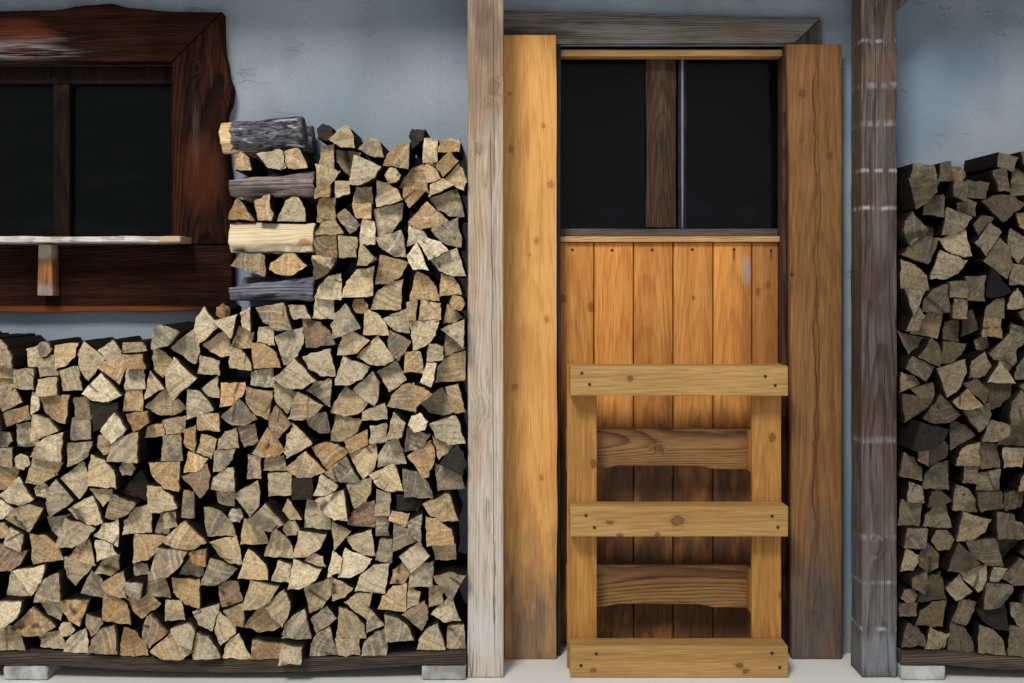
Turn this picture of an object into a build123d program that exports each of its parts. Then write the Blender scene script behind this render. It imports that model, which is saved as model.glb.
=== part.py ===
import math
import os
import random

import numpy as np
from build123d import *
from numpy.lib.stride_tricks import sliding_window_view

# Lengths in millimetres. X runs along the front, Y into the wall, Z up.
# While drawing, X = 0 is the middle of the boarded bay and Y = 0 the posts' front face.

# Posts and bays
post_side = 120
post_height = 2400
post_gap = 1
middle_bay = 1160
left_bay = 2850
right_bay = middle_bay
inner_left = -middle_bay / 2 - post_side
inner_right = middle_bay / 2
outer_left = inner_left - left_bay - post_side
outer_right = inner_right + post_side + right_bay
post_starts = {
    "post_far_left": outer_left,
    "post_left": inner_left,
    "post_right": inner_right,
    "post_far_right": outer_right,
}
store_left = outer_left
store_right = outer_right + post_side

# Wall behind the posts
wall_face = 245
wall_thickness = 300
wall_back = wall_face + wall_thickness
niche_depth = 155
niche_back = wall_face + niche_depth

# Roof, which the photo cuts off
beam_height = 140
beam_front = -10
beam_back = post_side + 10
beam_top = post_height + beam_height
wall_above_beam = 10
wall_top = beam_top + wall_above_beam
plate_height = 60
plate_depth = 100
plate_top = wall_top + plate_height
seat_depth = 16
roof_front = -380
roof_back = wall_back + 25
rafter_width = 60
rafter_depth = 100
rafter_count = 10
purlin_width = 50
purlin_height = 40
roof_board_width = 196
roof_board_thickness = 22
roof_board_gap = 6
cover_strip_width = 60
cover_strip_thickness = 18
beam_middle = (beam_front + beam_back) / 2
plate_middle = wall_face + plate_depth / 2
roof_rise = (plate_top - beam_top) / (plate_middle - beam_middle)
roof_angle = math.degrees(math.atan(roof_rise))

# Knee braces, one on each side of the two log bays, shorter in the left bay
brace_reach = 235
left_brace_reach = 185
brace_depth = 70
brace_thickness = 70

# Window in the wall behind the left bay
window_middle = inner_left - left_bay / 2
window_half = 406
window_height = 621
window_below_beam = 360
window_high = post_height - window_below_beam
window_low = window_high - window_height
casing_board = 175
head_board_height = 173
casing_head_top = window_high + head_board_height
casing_thickness = 60
casing_front = wall_face - casing_thickness
shelf_depth = 150
shelf_front = casing_front - shelf_depth
shelf_thickness = 28
shelf_drop = 3
shelf_low = window_low - shelf_drop
shelf_half = 482
sill_board_height = 234
casing_low = shelf_low - sill_board_height
strut_height = 176
strut_low = shelf_low - strut_height
strut_taper = 5
strut_width = 46
strut_depth = 60
strut_front = casing_front - strut_depth
pane_bar = 58
frame_edge = 24
frame_head = 61
frame_setback = 17
window_bar_front = wall_face + frame_setback
window_bar_depth = 48
window_bar_back = window_bar_front + window_bar_depth
glass_setback = 30
glass_front = window_bar_front + glass_setback
glass_thickness = 6
# How far the boards' natural edges stand out, by the share of the way along them
jamb_edge = [(0.0, 34), (0.25, 32), (0.4, 18), (0.55, 12), (0.62, 30), (0.67, 34), (0.73, 20), (0.86, 3), (1.0, 0)]
head_edge = [(0.0, 0), (0.3, 0), (0.5, 6), (0.6, 24), (0.67, 30), (0.73, 14), (0.85, 2), (1.0, 0)]
sill_edge = [(0.0, 34), (0.05, 8), (0.25, 4), (0.5, 0), (0.62, 4), (0.8, 3), (0.95, 12), (1.0, 34)]
edge_steps = 3

# Old doorway in the middle bay, now boarded up and glazed
door_half = 400
door_below_beam = 293
door_head = post_height - door_below_beam
lining = 15
reveal_half = door_half - lining
old_casing_thickness = 33
old_casing_front = wall_face - old_casing_thickness
plank_thickness = 32
plank_front = old_casing_front - plank_thickness
plank_lean = 8
left_plank = (-reveal_half - 205, -reveal_half - 13, door_head + 26)
right_plank = (reveal_half + 3, reveal_half + 188, door_head - 6)
right_plank_flare = 14
mitre_start = reveal_half + 33
mitre_run = 89
head_board_right = mitre_start + mitre_run
head_board_top_left = door_head + 122
head_board_top_right = door_head + 98
side_casing_right = head_board_right + 7
cladding_setback = 58
cladding_front = wall_face + cladding_setback
cladding_thickness = 20
cladding_low = 20
sill_low = 1429
sill_high = 1450
sill_front = 283
sill_back = 345
inner_sill_high = 1478
batten_high = door_head - 11
batten_height = 24
batten_low = batten_high - batten_height
batten_front = wall_face
cladding_joints = [-reveal_half, -265, -126, 14, 155, 292, reveal_half]
joint_gap = 2
rail_depth = 45
rail_heights = [(100, 190), (700, 790), (1300, 1390)]
light_mullion = (-85, 28)
light_stile = (31, 63)

# Shelf rack made of pallet wood
rack_left = -366
rack_right = 345
rack_depth = 200
rack_beam_depth = 90
rack_board = 22
rack_beams = [(0, 105), (458, 559), (916, 1016)]
rack_uprights = [(-371, -271), (244, 344)]
rack_slats = [(177, 324), (649, 789)]
rack_spacers = [(-321, 60), (294, 60)]
slat_notch = 12
slat_notch_run = 52
slat_notch_middle = -56
slat_notch_half = 138

# Log stacks
log_length = 270
log_front = -30
log_front_spread = 15
log_clearance = 2
bearer_top = 95
bearer_thickness = 45
bearer_sag = 26
bearer_boards = [(-25, 95), (125, 235)]
block_length = 148
# The left stack ends below the window and the crib stands beside the window's casing
left_stack_level = casing_low - 92
crib_beside_casing = 68
crib_width = 284
crib_left = window_middle + window_half + casing_board + crib_beside_casing
crib_right = crib_left + crib_width
tall_left = crib_right + 4
# Steps of the stacks' tops: the place where a step starts and its rise above the first level
left_steps = [(crib_left - 196, 42), (crib_left - 100, 115)]
left_tall_steps = [
    (tall_left, 685),
    (inner_left - 390, 625),
    (inner_left - 260, 610),
    (inner_left - 160, 655),
    (inner_left - 80, 635),
]
right_stack_level = 1690
right_steps = [(0, 0), (110, -40), (330, -10), (620, 10), (900, -20)]
log_size = 0.83
log_gap = 0.3
skyline_step = 5.0
shapes_tried = 46
smallest_room = 40
crib_log_depth = 92
crib_log_spacing = 170
crib_log_cut = 0.3
# Crossed layers from the bottom up. A cross log has its height at the left and right end,
# an end log's corners are shares of the crib's width and of the layer's height
crib_layers = [
    ("cross", 48, 80),
    (
        "ends",
        76,
        [
            [(0.04, 0.45), (0.40, 0.0), (0.44, 0.03), (0.42, 0.95), (0.38, 1.0), (0.13, 0.92)],
            [(0.48, 0.45), (0.58, 0.08), (0.70, 0.0), (0.80, 0.04), (0.95, 0.45), (0.78, 1.0), (0.68, 1.0)],
        ],
    ),
    ("cross", 96, 100),
    (
        "ends",
        82,
        [
            [(0.03, 0.10), (0.33, 0.0), (0.32, 0.16), (0.12, 1.0), (0.05, 0.55)],
            [(0.37, 0.04), (0.52, 0.0), (0.55, 0.26), (0.54, 1.0), (0.33, 0.82)],
            [(0.57, 0.0), (0.90, 0.0), (0.90, 0.50), (0.82, 0.96), (0.76, 1.0), (0.68, 0.80)],
        ],
    ),
    ("cross", 52, 84),
    (
        "ends",
        74,
        [
            [(0.08, 0.0), (0.27, 0.0), (0.25, 0.55), (0.16, 0.82), (0.09, 0.40)],
            [(0.46, 0.06), (0.60, 0.0), (0.67, 0.14), (0.62, 0.90), (0.55, 0.92), (0.33, 0.72)],
            [(0.70, 0.10), (0.93, 0.14), (0.90, 0.52), (0.82, 1.0), (0.65, 0.90)],
        ],
    ),
    ("cross", 104, 104),
]
crib_top_tilt = 4.5
crib_top_overhang = 20

middle_x = (store_left + store_right) / 2
middle_y = (roof_front + roof_back) / 2


# Drawing helpers
def bar(x, y, z):
    size = (x[1] - x[0], y[1] - y[0], z[1] - z[0])
    middle = ((x[0] + x[1]) / 2, (y[0] + y[1]) / 2, (z[0] + z[1]) / 2)
    return Pos(*middle) * Box(*size)


def slab(outline, y_front, y_back):
    corners = [(x, y_front, z) for x, z in outline]
    face = Face(Wire.make_polygon(corners, close=True))
    return extrude(face, amount=y_back - y_front, dir=(0, 1, 0))


def side_slab(outline, x_left, x_right):
    corners = [(x_left, y, z) for y, z in outline]
    face = Face(Wire.make_polygon(corners, close=True))
    return extrude(face, amount=x_right - x_left, dir=(1, 0, 0))


def save(name, solids):
    solids = solids if isinstance(solids, list) else [solids]
    flat = [solid for shape in solids for solid in shape.solids()]
    moved = [Pos(-middle_x, -middle_y, 0) * solid for solid in flat]
    whole = moved[0] if len(moved) == 1 else Compound(children=moved)
    export_step(whole, f"parts/{name}.step")


# Log outlines, each convex and drawn anticlockwise
def quarter_log(rng):
    radius = rng.uniform(80, 120) * log_size
    spread = math.radians(rng.uniform(50, 96))
    points = 3 if spread < 1.2 else 4
    rim = [-spread / 2 + spread * i / (points - 1) for i in range(points)]
    return [(0.0, 0.0)] + [(radius * math.cos(a), radius * math.sin(a)) for a in rim]


def half_log(rng):
    radius = rng.uniform(44, 60) * log_size
    squash = rng.uniform(0.85, 1.15)
    turns = [0, math.pi / 3, 2 * math.pi / 3, math.pi]
    return [(radius * math.cos(a), squash * radius * math.sin(a)) for a in turns]


def squared_log(rng):
    wide, tall = rng.uniform(58, 98) * log_size, rng.uniform(46, 78) * log_size
    j = [rng.uniform(-9, 9) for _ in range(8)]
    return [
        (j[0], j[1]),
        (wide + j[2], j[3]),
        (wide + j[4], tall + j[5]),
        (j[6], tall + j[7]),
    ]


def three_sided_log(rng):
    wide, tall = rng.uniform(86, 124) * log_size, rng.uniform(60, 94) * log_size
    return [(0, 0), (wide, rng.uniform(-8, 10)), (wide * rng.uniform(0.2, 0.8), tall)]


def outer_split(rng):
    radius = rng.uniform(86, 118) * log_size
    inner = radius * rng.uniform(0.25, 0.42)
    half = math.radians(rng.uniform(26, 40))
    ring = [(inner, -half), (radius, -half), (radius, 0), (radius, half), (inner, half)]
    return [(r * math.cos(a), r * math.sin(a)) for r, a in ring]


def round_log(rng):
    radius = rng.uniform(30, 46) * log_size
    turns = [i * math.pi / 3 for i in range(6)]
    return [(radius * math.cos(a), radius * math.sin(a)) for a in turns]


log_kinds = [quarter_log, half_log, squared_log, three_sided_log, outer_split, round_log]
log_shares = [0.42, 0.14, 0.22, 0.12, 0.06, 0.04]


def outline_area(outline):
    x, z = np.array(outline).T
    return float((x * np.roll(z, -1) - np.roll(x, -1) * z).sum() / 2)


def outline_middle(outline):
    x, z = np.array(outline).T
    cross = x * np.roll(z, -1) - np.roll(x, -1) * z
    return float(((x + np.roll(x, -1)) * cross).sum() / (3 * cross.sum()))


def shifted(outline, dx, dz):
    return [(x + dx, z + dz) for x, z in outline]


def rotated(outline, angle):
    c, s = math.cos(angle), math.sin(angle)
    return [(x * c - z * s, x * s + z * c) for x, z in outline]


def laid_log(rng):
    outline = rng.choices(log_kinds, log_shares)[0](rng)
    edge = rng.randrange(len(outline))
    (xa, za), (xb, zb) = outline[edge], outline[(edge + 1) % len(outline)]
    flat = -math.atan2(zb - za, xb - xa)
    lean = rng.uniform(-0.1, 0.1) if rng.random() < 0.5 else rng.uniform(-1.6, 1.6)
    outline = rotated(outline, flat + lean)
    return shifted(outline, -min(x for x, z in outline), -min(z for x, z in outline))


# Underside and top line of an outline, both from left to right
def two_lines(outline):
    left = min(range(len(outline)), key=lambda i: outline[i])
    points = outline[left:] + outline[:left]
    right = max(range(len(points)), key=lambda i: (points[i][0], -points[i][1]))
    under = np.array(points[: right + 1])
    over = np.array((points[right:] + points[:1])[::-1])
    return under, over


def height_at(line, x):
    return np.interp(x, line[:, 0], line[:, 1])


# Fills a stretch from the lowest spot up, keeping for each spot the best of the shapes tried
def stack_logs(rng, left, right, floor_at, top_at, below=()):
    count = int((right - left) / skyline_step) + 1
    xs = left + skyline_step * np.arange(count)
    sky = np.array([floor_at(x) for x in xs], dtype=float)
    top = np.array([top_at(x) for x in xs], dtype=float)
    placed, laid = [], []

    def note(outline):
        under, over = two_lines(outline)
        inside = (xs >= over[0, 0]) & (xs <= over[-1, 0])
        sky[inside] = np.maximum(sky[inside], height_at(over, xs[inside]))
        laid.append((float(over[0, 0]), float(over[-1, 0]), over))

    for outline in below:
        note(outline)
    while True:
        room = np.where(top - sky > smallest_room, sky, np.inf)
        spot = int(room.argmin())
        if not math.isfinite(room[spot]):
            return placed
        low, high = spot, spot
        while low > 0 and sky[low - 1] < sky[spot] + 24:
            low -= 1
        while high < count - 1 and sky[high + 1] < sky[spot] + 24:
            high += 1
        if high - low < 6:
            beside = [sky[i] for i in (low - 1, high + 1) if 0 <= i < count]
            sky[low : high + 1] = np.maximum(sky[low : high + 1], min(beside))
            continue
        best = None
        for _ in range(shapes_tried):
            outline = laid_log(rng)
            cells = int(max(x for x, z in outline) / skyline_step) + 1
            at = skyline_step * np.arange(cells)
            under, over = two_lines(outline)
            under, over = height_at(under, at), height_at(over, at)
            first, last = max(0, spot - cells + 1), min(spot, count - cells)
            windows = sliding_window_view(sky[first : last + cells], cells)
            rest = (windows - under).max(axis=1)
            gaps = rest[:, None] + under - windows
            touch = gaps < 5
            off_left = touch.argmax(axis=1) - outline_middle(outline) / skyline_step
            off_right = outline_middle(outline) / skyline_step - cells + 1
            off_right = off_right + touch[:, ::-1].argmax(axis=1)
            off = np.maximum(0, np.maximum(off_left, off_right))
            area = outline_area(outline)
            score = gaps.sum(axis=1) * skyline_step / area - area / 11000
            score += np.where(off > 0, 0.5 + 0.1 * off, 0)
            score += (rest + over.max() - sky[spot]) / 240
            score += np.maximum(0, rest + over.max() - top[spot] - 22) / 25
            for k in np.argsort(score)[:4]:
                start = first + int(k)
                total = float(score[k])
                for cell, way, edge in ((start - 1, -1, over[0]), (start + cells, 1, over[-1])):
                    run = 0
                    while 0 <= cell < count and sky[cell] < rest[k] + edge - 20 and run < 9:
                        run += 1
                        cell += way
                    if 0 < run < 8:
                        total += 0.35
                if best is None or total < best[0]:
                    best = (total, start, outline)
        _, start, outline = best
        reach = xs[start] + max(x for x, z in outline)
        outline = shifted(outline, xs[start] - max(0, reach - right), 0)
        under, over = two_lines(outline)
        x_low, x_high = under[0, 0], under[-1, 0]
        rest = max(floor_at(x) - z for x, z in outline)
        for other_low, other_high, other in laid:
            if other_high <= x_low or other_low >= x_high:
                continue
            ends = max(other_low, x_low), min(other_high, x_high)
            stops = np.concatenate([ends, under[:, 0], other[:, 0]])
            stops = stops[(stops >= ends[0]) & (stops <= ends[1])]
            rest = max(rest, float((height_at(other, stops) - height_at(under, stops)).max()))
        outline = shifted(outline, 0, rest + log_gap)
        placed.append(outline)
        note(outline)


# A log in front of the window's casing stops short of it
def log_from(outline, rng):
    front = log_front + rng.uniform(-log_front_spread, log_front_spread)
    behind = wall_face
    highest = max(z for x, z in outline)
    beside_left = max(x for x, z in outline) < outer_casing_left - casing_reach
    beside_right = min(x for x, z in outline) > outer_casing_right + casing_reach
    if highest > casing_low and not beside_left and not beside_right:
        behind = casing_front
    back = min(front + log_length + rng.uniform(-10, 10), behind - log_clearance)
    return slab(outline, front, back)


def split_in_columns(outlines, left, right, columns):
    groups = [[] for _ in range(columns)]
    for outline in outlines:
        middle = sum(x for x, z in outline) / len(outline)
        column = int((middle - left) / (right - left) * columns)
        groups[min(max(column, 0), columns - 1)].append(outline)
    return groups


# Blocks at the ends of a stack and between its spans
def block_spans(left, right, spans):
    places = []
    for i in range(spans + 1):
        start = left + (right - left - block_length) * i / spans
        places.append((start, start + block_length))
    return places


# Boards under a stack, level over their blocks and sagging between them
def bearer_line(left, right, spans):
    places = block_spans(left, right, spans)

    def top_at(x):
        for before, after in zip(places, places[1:]):
            if before[1] < x < after[0]:
                along = (x - before[1]) / (after[0] - before[1])
                return bearer_top - bearer_sag * 4 * along * (1 - along)
        return bearer_top

    return top_at


def bearer_boards_for(left, right, spans):
    top_at = bearer_line(left, right, spans)
    places = block_spans(left, right, spans)
    stations = [left]
    for before, after in zip(places, places[1:]):
        stations += [before[1] + (after[0] - before[1]) * k / 6 for k in range(7)]
    stations.append(right)
    lower = [(x, top_at(x) - bearer_thickness) for x in stations]
    upper = [(x, top_at(x)) for x in stations]
    return [slab(lower + upper[::-1], front, back) for front, back in bearer_boards]


def blocks_for(left, right, spans):
    depth = bearer_boards[0][0], bearer_boards[1][1]
    return [bar(ends, depth, (0, block_height)) for ends in block_spans(left, right, spans)]


block_height = bearer_top - bearer_thickness

os.makedirs("parts", exist_ok=True)

# Wall with the two shallow openings
wall = bar((store_left, store_right), (wall_face, wall_back), (0, wall_top))
wall -= bar(
    (window_middle - window_half, window_middle + window_half),
    (wall_face - 1, niche_back),
    (window_low, window_high),
)
wall -= bar((-door_half, door_half), (wall_face - 1, niche_back), (-1, door_head))
save("back_wall", wall)

# Posts, beam and braces
for name, start in post_starts.items():
    save(name, bar((start, start + post_side), (0, post_side), (0, post_height)))
save("eaves_beam", bar((store_left, store_right), (beam_front, beam_back), (post_height, beam_top)))


def brace(post_edge, way, reach):
    foot = post_height - reach
    cut = brace_thickness * math.sqrt(2)
    outline = [
        (post_edge, foot),
        (post_edge + way * reach, post_height),
        (post_edge + way * (reach - cut), post_height),
        (post_edge, foot + cut),
    ]
    front = (post_side - brace_depth) / 2
    return slab(outline, front, front + brace_depth)


save(
    "knee_braces",
    [
        brace(outer_left + post_side, 1, left_brace_reach),
        brace(inner_left, -1, left_brace_reach),
        brace(inner_right + post_side, 1, brace_reach),
        brace(outer_right, -1, brace_reach),
    ],
)
save("wall_plate", bar((store_left, store_right), (wall_face, wall_face + plate_depth), (wall_top, plate_top)))


# Roof, all its pieces measured square to the slope
def roof_line(y, rise):
    level = beam_top - seat_depth + (y - beam_middle) * roof_rise
    return level + rise / math.cos(math.radians(roof_angle))


def roof_piece(x, y, rises):
    outline = [
        (y[0], roof_line(y[0], rises[0])),
        (y[1], roof_line(y[1], rises[0])),
        (y[1], roof_line(y[1], rises[1])),
        (y[0], roof_line(y[0], rises[1])),
    ]
    return side_slab(outline, *x)


beam_seat = bar((store_left, store_right), (beam_front, beam_back), (post_height, beam_top))
plate_seat = bar((store_left, store_right), (wall_face, wall_face + plate_depth), (wall_top, plate_top))
rafter_pitch = (store_right - store_left - rafter_width) / (rafter_count - 1)
rafters = []
for i in range(rafter_count):
    start = store_left + i * rafter_pitch
    rafter = roof_piece((start, start + rafter_width), (roof_front + 20, roof_back - 20), (0, rafter_depth))
    rafters.append(rafter - beam_seat - plate_seat)
save("rafters", rafters)
purlin_spots = [roof_front + 30, roof_front + 330, roof_back - 330, roof_back - 80]
purlins = [
    roof_piece((store_left, store_right), (y, y + purlin_width), (rafter_depth, rafter_depth + purlin_height))
    for y in purlin_spots
]
save("roof_purlins", purlins)
board_low = rafter_depth + purlin_height
board_high = board_low + roof_board_thickness
roof_board_count = round((store_right - store_left + roof_board_gap) / (roof_board_width + roof_board_gap))
roof_pitch = (store_right - store_left + roof_board_gap) / roof_board_count
boards, strips = [], []
for i in range(roof_board_count):
    start = store_left + i * roof_pitch
    end = start + roof_pitch - roof_board_gap
    boards.append(roof_piece((start, end), (roof_front, roof_back), (board_low, board_high)))
    if i:
        joint = start - roof_board_gap / 2
        edges = joint - cover_strip_width / 2, joint + cover_strip_width / 2
        rises = board_high, board_high + cover_strip_thickness
        strips.append(roof_piece(edges, (roof_front, roof_back), rises))
save("roof_boards", boards)
save("roof_cover_strips", strips)

# Window behind the left bay
opening_left = window_middle - window_half
opening_right = window_middle + window_half
outer_casing_left = opening_left - casing_board
outer_casing_right = opening_right + casing_board
jamb_foot = jamb_edge[0][1]
casing_reach = max(extra for share, extra in jamb_edge)


# How far a natural edge stands out along a board, eased from each given place to the next
def natural_edge(places):
    eased = []
    for (share, extra), (next_share, next_extra) in zip(places, places[1:]):
        for i in range(edge_steps):
            along = i / edge_steps
            ease = (1 - math.cos(math.pi * along)) / 2
            eased.append((share + (next_share - share) * along, extra + (next_extra - extra) * ease))
    return eased + [places[-1]]


# A board with one natural edge, which runs from its first straight corner back to the last
def natural_board(corners, edge_points):
    return slab([*corners, *edge_points], casing_front, casing_front + casing_thickness)


def jamb(way):
    inner = window_middle + way * window_half
    outer = inner + way * casing_board
    rise = casing_head_top - shelf_low
    edge = [(outer + way * extra, shelf_low + share * rise) for share, extra in natural_edge(jamb_edge)]
    return natural_board([(inner, window_high), (inner, shelf_low)], edge)


head_width = outer_casing_right - outer_casing_left
head_points = [
    (outer_casing_left + share * head_width, casing_head_top + extra)
    for share, extra in natural_edge(head_edge)
]
save(
    "window_casing_head",
    natural_board([(opening_right, window_high), (opening_left, window_high)], head_points),
)
save("window_casing_left", jamb(-1))
save("window_casing_right", jamb(1))
sill_width = head_width + 2 * jamb_foot
sill_points = [
    (outer_casing_left - jamb_foot + share * sill_width, casing_low + extra)
    for share, extra in natural_edge(sill_edge)
]
save(
    "window_casing_sill",
    natural_board([(sill_points[-1][0], shelf_low), (sill_points[0][0], shelf_low)], sill_points),
)
shelf_high = shelf_low + shelf_thickness
save(
    "window_shelf",
    bar(
        (window_middle - shelf_half, window_middle + shelf_half),
        (shelf_front, casing_front),
        (shelf_low, shelf_high),
    ),
)
strut_foot = strut_width / 2 + strut_taper
save(
    "window_shelf_strut",
    slab(
        [
            (window_middle - strut_foot, strut_low),
            (window_middle + strut_foot, strut_low),
            (window_middle + strut_width / 2, shelf_low),
            (window_middle - strut_width / 2, shelf_low),
        ],
        strut_front,
        casing_front,
    ),
)
bar_y = window_bar_front, window_bar_back
save(
    "window_frame_rails",
    [
        bar((opening_left, opening_right), bar_y, (window_high - frame_head, window_high)),
        bar((opening_left, opening_right), bar_y, (window_low, window_low + frame_edge)),
    ],
)
pane_low = window_low + frame_edge
pane_high = window_high - frame_head
save(
    "window_frame_stiles",
    [
        bar((opening_left, opening_left + frame_edge), bar_y, (pane_low, pane_high)),
        bar((opening_right - frame_edge, opening_right), bar_y, (pane_low, pane_high)),
    ],
)
save(
    "window_mullion",
    bar((window_middle - pane_bar / 2, window_middle + pane_bar / 2), bar_y, (pane_low, pane_high)),
)
glass_y = glass_front, glass_front + glass_thickness
save(
    "window_glass",
    [
        bar((opening_left + frame_edge, window_middle - pane_bar / 2), glass_y, (pane_low, pane_high)),
        bar((window_middle + pane_bar / 2, opening_right - frame_edge), glass_y, (pane_low, pane_high)),
    ],
)

# Old doorway: casing, linings and the two new planks
old_y = old_casing_front, wall_face
head_left = left_plank[0]
mitre_end = head_board_right - mitre_start + door_head
save(
    "door_casing_head",
    slab(
        [
            (head_left, door_head),
            (mitre_start, door_head),
            (head_board_right, mitre_end),
            (head_board_right, head_board_top_right),
            (head_left, head_board_top_left),
        ],
        *old_y,
    ),
)
side_top = mitre_end
save(
    "door_casing_sides",
    [
        bar((head_left, -reveal_half), old_y, (0, door_head)),
        slab(
            [
                (mitre_start, 0),
                (side_casing_right, 0),
                (side_casing_right, side_top),
                (head_board_right, side_top),
                (mitre_start, door_head),
            ],
            *old_y,
        ),
    ],
)
lining_y = wall_face, niche_back
save(
    "door_linings",
    [
        bar((-door_half, -reveal_half), lining_y, (0, door_head)),
        bar((reveal_half, door_half), lining_y, (0, door_head)),
    ],
)
plank_y = plank_front, old_casing_front
save(
    "side_plank_left",
    slab(
        [
            (left_plank[0] + plank_lean, 0),
            (left_plank[1] + plank_lean / 2, 0),
            (left_plank[1], left_plank[2]),
            (left_plank[0], left_plank[2]),
        ],
        *plank_y,
    ),
)
save(
    "side_plank_right",
    slab(
        [
            (right_plank[0] + plank_lean, 0),
            (right_plank[1], 0),
            (right_plank[1], right_plank[2]),
            (right_plank[0] - right_plank_flare, right_plank[2]),
            (right_plank[0], right_plank[2] - right_plank[2] / 6),
        ],
        *plank_y,
    ),
)

# Boarding and glazing inside the old doorway
inner_x = -reveal_half, reveal_half
save("head_batten", bar(inner_x, (batten_front, cladding_front), (batten_low, batten_high)))
save("bay_window_sill", bar(inner_x, (sill_front, sill_back), (sill_low, sill_high)))
light_y = cladding_front, cladding_front + 40
save("bay_window_mullion", bar(light_mullion, light_y, (inner_sill_high, batten_high)))
save("bay_window_inner_sill", bar(inner_x, (cladding_front + 5, cladding_front + 45), (sill_high, inner_sill_high)))
stile_y = cladding_front + 5, cladding_front + 35
save("bay_window_stile", bar(light_stile, stile_y, (inner_sill_high, batten_high)))
pane_y = cladding_front + 12, cladding_front + 12 + glass_thickness
save(
    "bay_window_glass",
    [
        bar((-reveal_half, light_mullion[0]), pane_y, (inner_sill_high, batten_high)),
        bar((light_stile[1], reveal_half), pane_y, (inner_sill_high, batten_high)),
    ],
)
cladding_y = cladding_front, cladding_front + cladding_thickness
cladding = []
for left, right in zip(cladding_joints, cladding_joints[1:]):
    edges = left + joint_gap / 2, right - joint_gap / 2
    if left == cladding_joints[0]:
        edges = left, edges[1]
    if right == cladding_joints[-1]:
        edges = edges[0], right
    cladding.append(bar(edges, cladding_y, (cladding_low, sill_low)))
save("cladding_boards", cladding)
rail_y = cladding_y[1], cladding_y[1] + rail_depth
save("cladding_rails", [bar(inner_x, rail_y, rail) for rail in rail_heights])

# Shelf rack
beam_y = 0, rack_beam_depth
save("rack_beams", [bar((rack_left, rack_right), beam_y, z) for z in rack_beams])
upright_y = rack_beam_depth, rack_beam_depth + rack_board
rack_top = rack_beams[-1][1]
save("rack_uprights", [bar(x, upright_y, (0, rack_top)) for x in rack_uprights])
block_y = upright_y[1], rack_depth - rack_board
rack_blocks = []
for x in rack_uprights:
    for z in rack_slats:
        rack_blocks.append(bar(x, block_y, z))
save("rack_blocks", rack_blocks)
slat_y = rack_depth - rack_board, rack_depth
slat_ends = rack_uprights[0][0], rack_uprights[1][1]


def slat(low, high):
    notch = slat_notch_middle - slat_notch_half, slat_notch_middle + slat_notch_half
    outline = [
        (slat_ends[0], low),
        (notch[0] - slat_notch_run, low),
        (notch[0], low + slat_notch),
        (notch[1], low + slat_notch),
        (notch[1] + slat_notch_run, low),
        (slat_ends[1], low),
        (slat_ends[1], high),
        (slat_ends[0], high),
    ]
    return slab(outline, *slat_y)


save("rack_slats", [slat(*z) for z in rack_slats])
spacer_z = rack_slats[1]
save(
    "rack_spacers",
    [bar((x - half / 2, x + half / 2), (rack_depth, cladding_front), spacer_z) for x, half in rack_spacers],
)

# Boards and blocks under the stacks
left_edges = outer_left + post_side, inner_left
right_edges = inner_right + post_side, outer_right
save("left_bearers", bearer_boards_for(*left_edges, 2))
save("left_blocks", blocks_for(*left_edges, 2))
save("right_bearers", bearer_boards_for(*right_edges, 1))
save("right_blocks", blocks_for(*right_edges, 1))


# Left stack: low under the window, stepping up to the crib and the tall part
def stepped(first_level, steps, offset=0):
    def level_at(x):
        return first_level + [0, *(rise for start, rise in steps if x >= start + offset)][-1]

    return level_at


rng = random.Random(12)
floor_line = bearer_line(*left_edges, 2)
low_top = stepped(left_stack_level, left_steps)
tall_top = stepped(left_stack_level, left_tall_steps)
low_logs = stack_logs(rng, left_edges[0] + post_gap, left_edges[1] - post_gap, floor_line, low_top)
tall_logs = stack_logs(rng, tall_left, left_edges[1] - post_gap, floor_line, tall_top, low_logs)
groups = split_in_columns(low_logs + tall_logs, *left_edges, 6)
for number, group in enumerate(groups, 1):
    save(f"left_stack_{number}", [log_from(outline, rng) for outline in group])

right_logs = stack_logs(
    rng,
    right_edges[0] + post_gap,
    right_edges[1] - post_gap,
    bearer_line(*right_edges, 1),
    stepped(right_stack_level, right_steps, right_edges[0]),
)
groups = split_in_columns(right_logs, *right_edges, 3)
for number, group in enumerate(groups, 1):
    save(f"right_stack_{number}", [log_from(outline, rng) for outline in group])


# The highest spot of the logs below, between two places along the stack
def highest_below(outlines, left, right):
    highest = 0
    for outline in outlines:
        over = two_lines(outline)[1]
        if over[0, 0] < right and over[-1, 0] > left:
            stops = np.clip(np.append(over[:, 0], (left, right)), max(left, over[0, 0]), min(right, over[-1, 0]))
            highest = max(highest, float(height_at(over, stops).max()))
    return highest


# Crib of crossed logs beside the tall part
crib_base = highest_below(low_logs, crib_left + 6, crib_right)


def eight_sided(middle_y, low, wide, tall, cut):
    front, back, high = middle_y - wide / 2, middle_y + wide / 2, low + tall
    return [
        (front + cut, low),
        (back - cut, low),
        (back, low + cut),
        (back, high - cut),
        (back - cut, high),
        (front + cut, high),
        (front, high - cut),
        (front, low + cut),
    ]


# A barked log lying along X, its underside level and its top rising from one end to the other
def cross_log(x, middle_y, low, heights):
    tall = max(heights)
    log = side_slab(eight_sided(middle_y, low, crib_log_depth, tall, crib_log_cut * tall), *x)
    if min(heights) == tall:
        return log
    rising = [(x[0], low), (x[1], low), (x[1], low + heights[1]), (x[0], low + heights[0])]
    return log & slab(rising, middle_y - crib_log_depth, middle_y + crib_log_depth)


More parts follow.
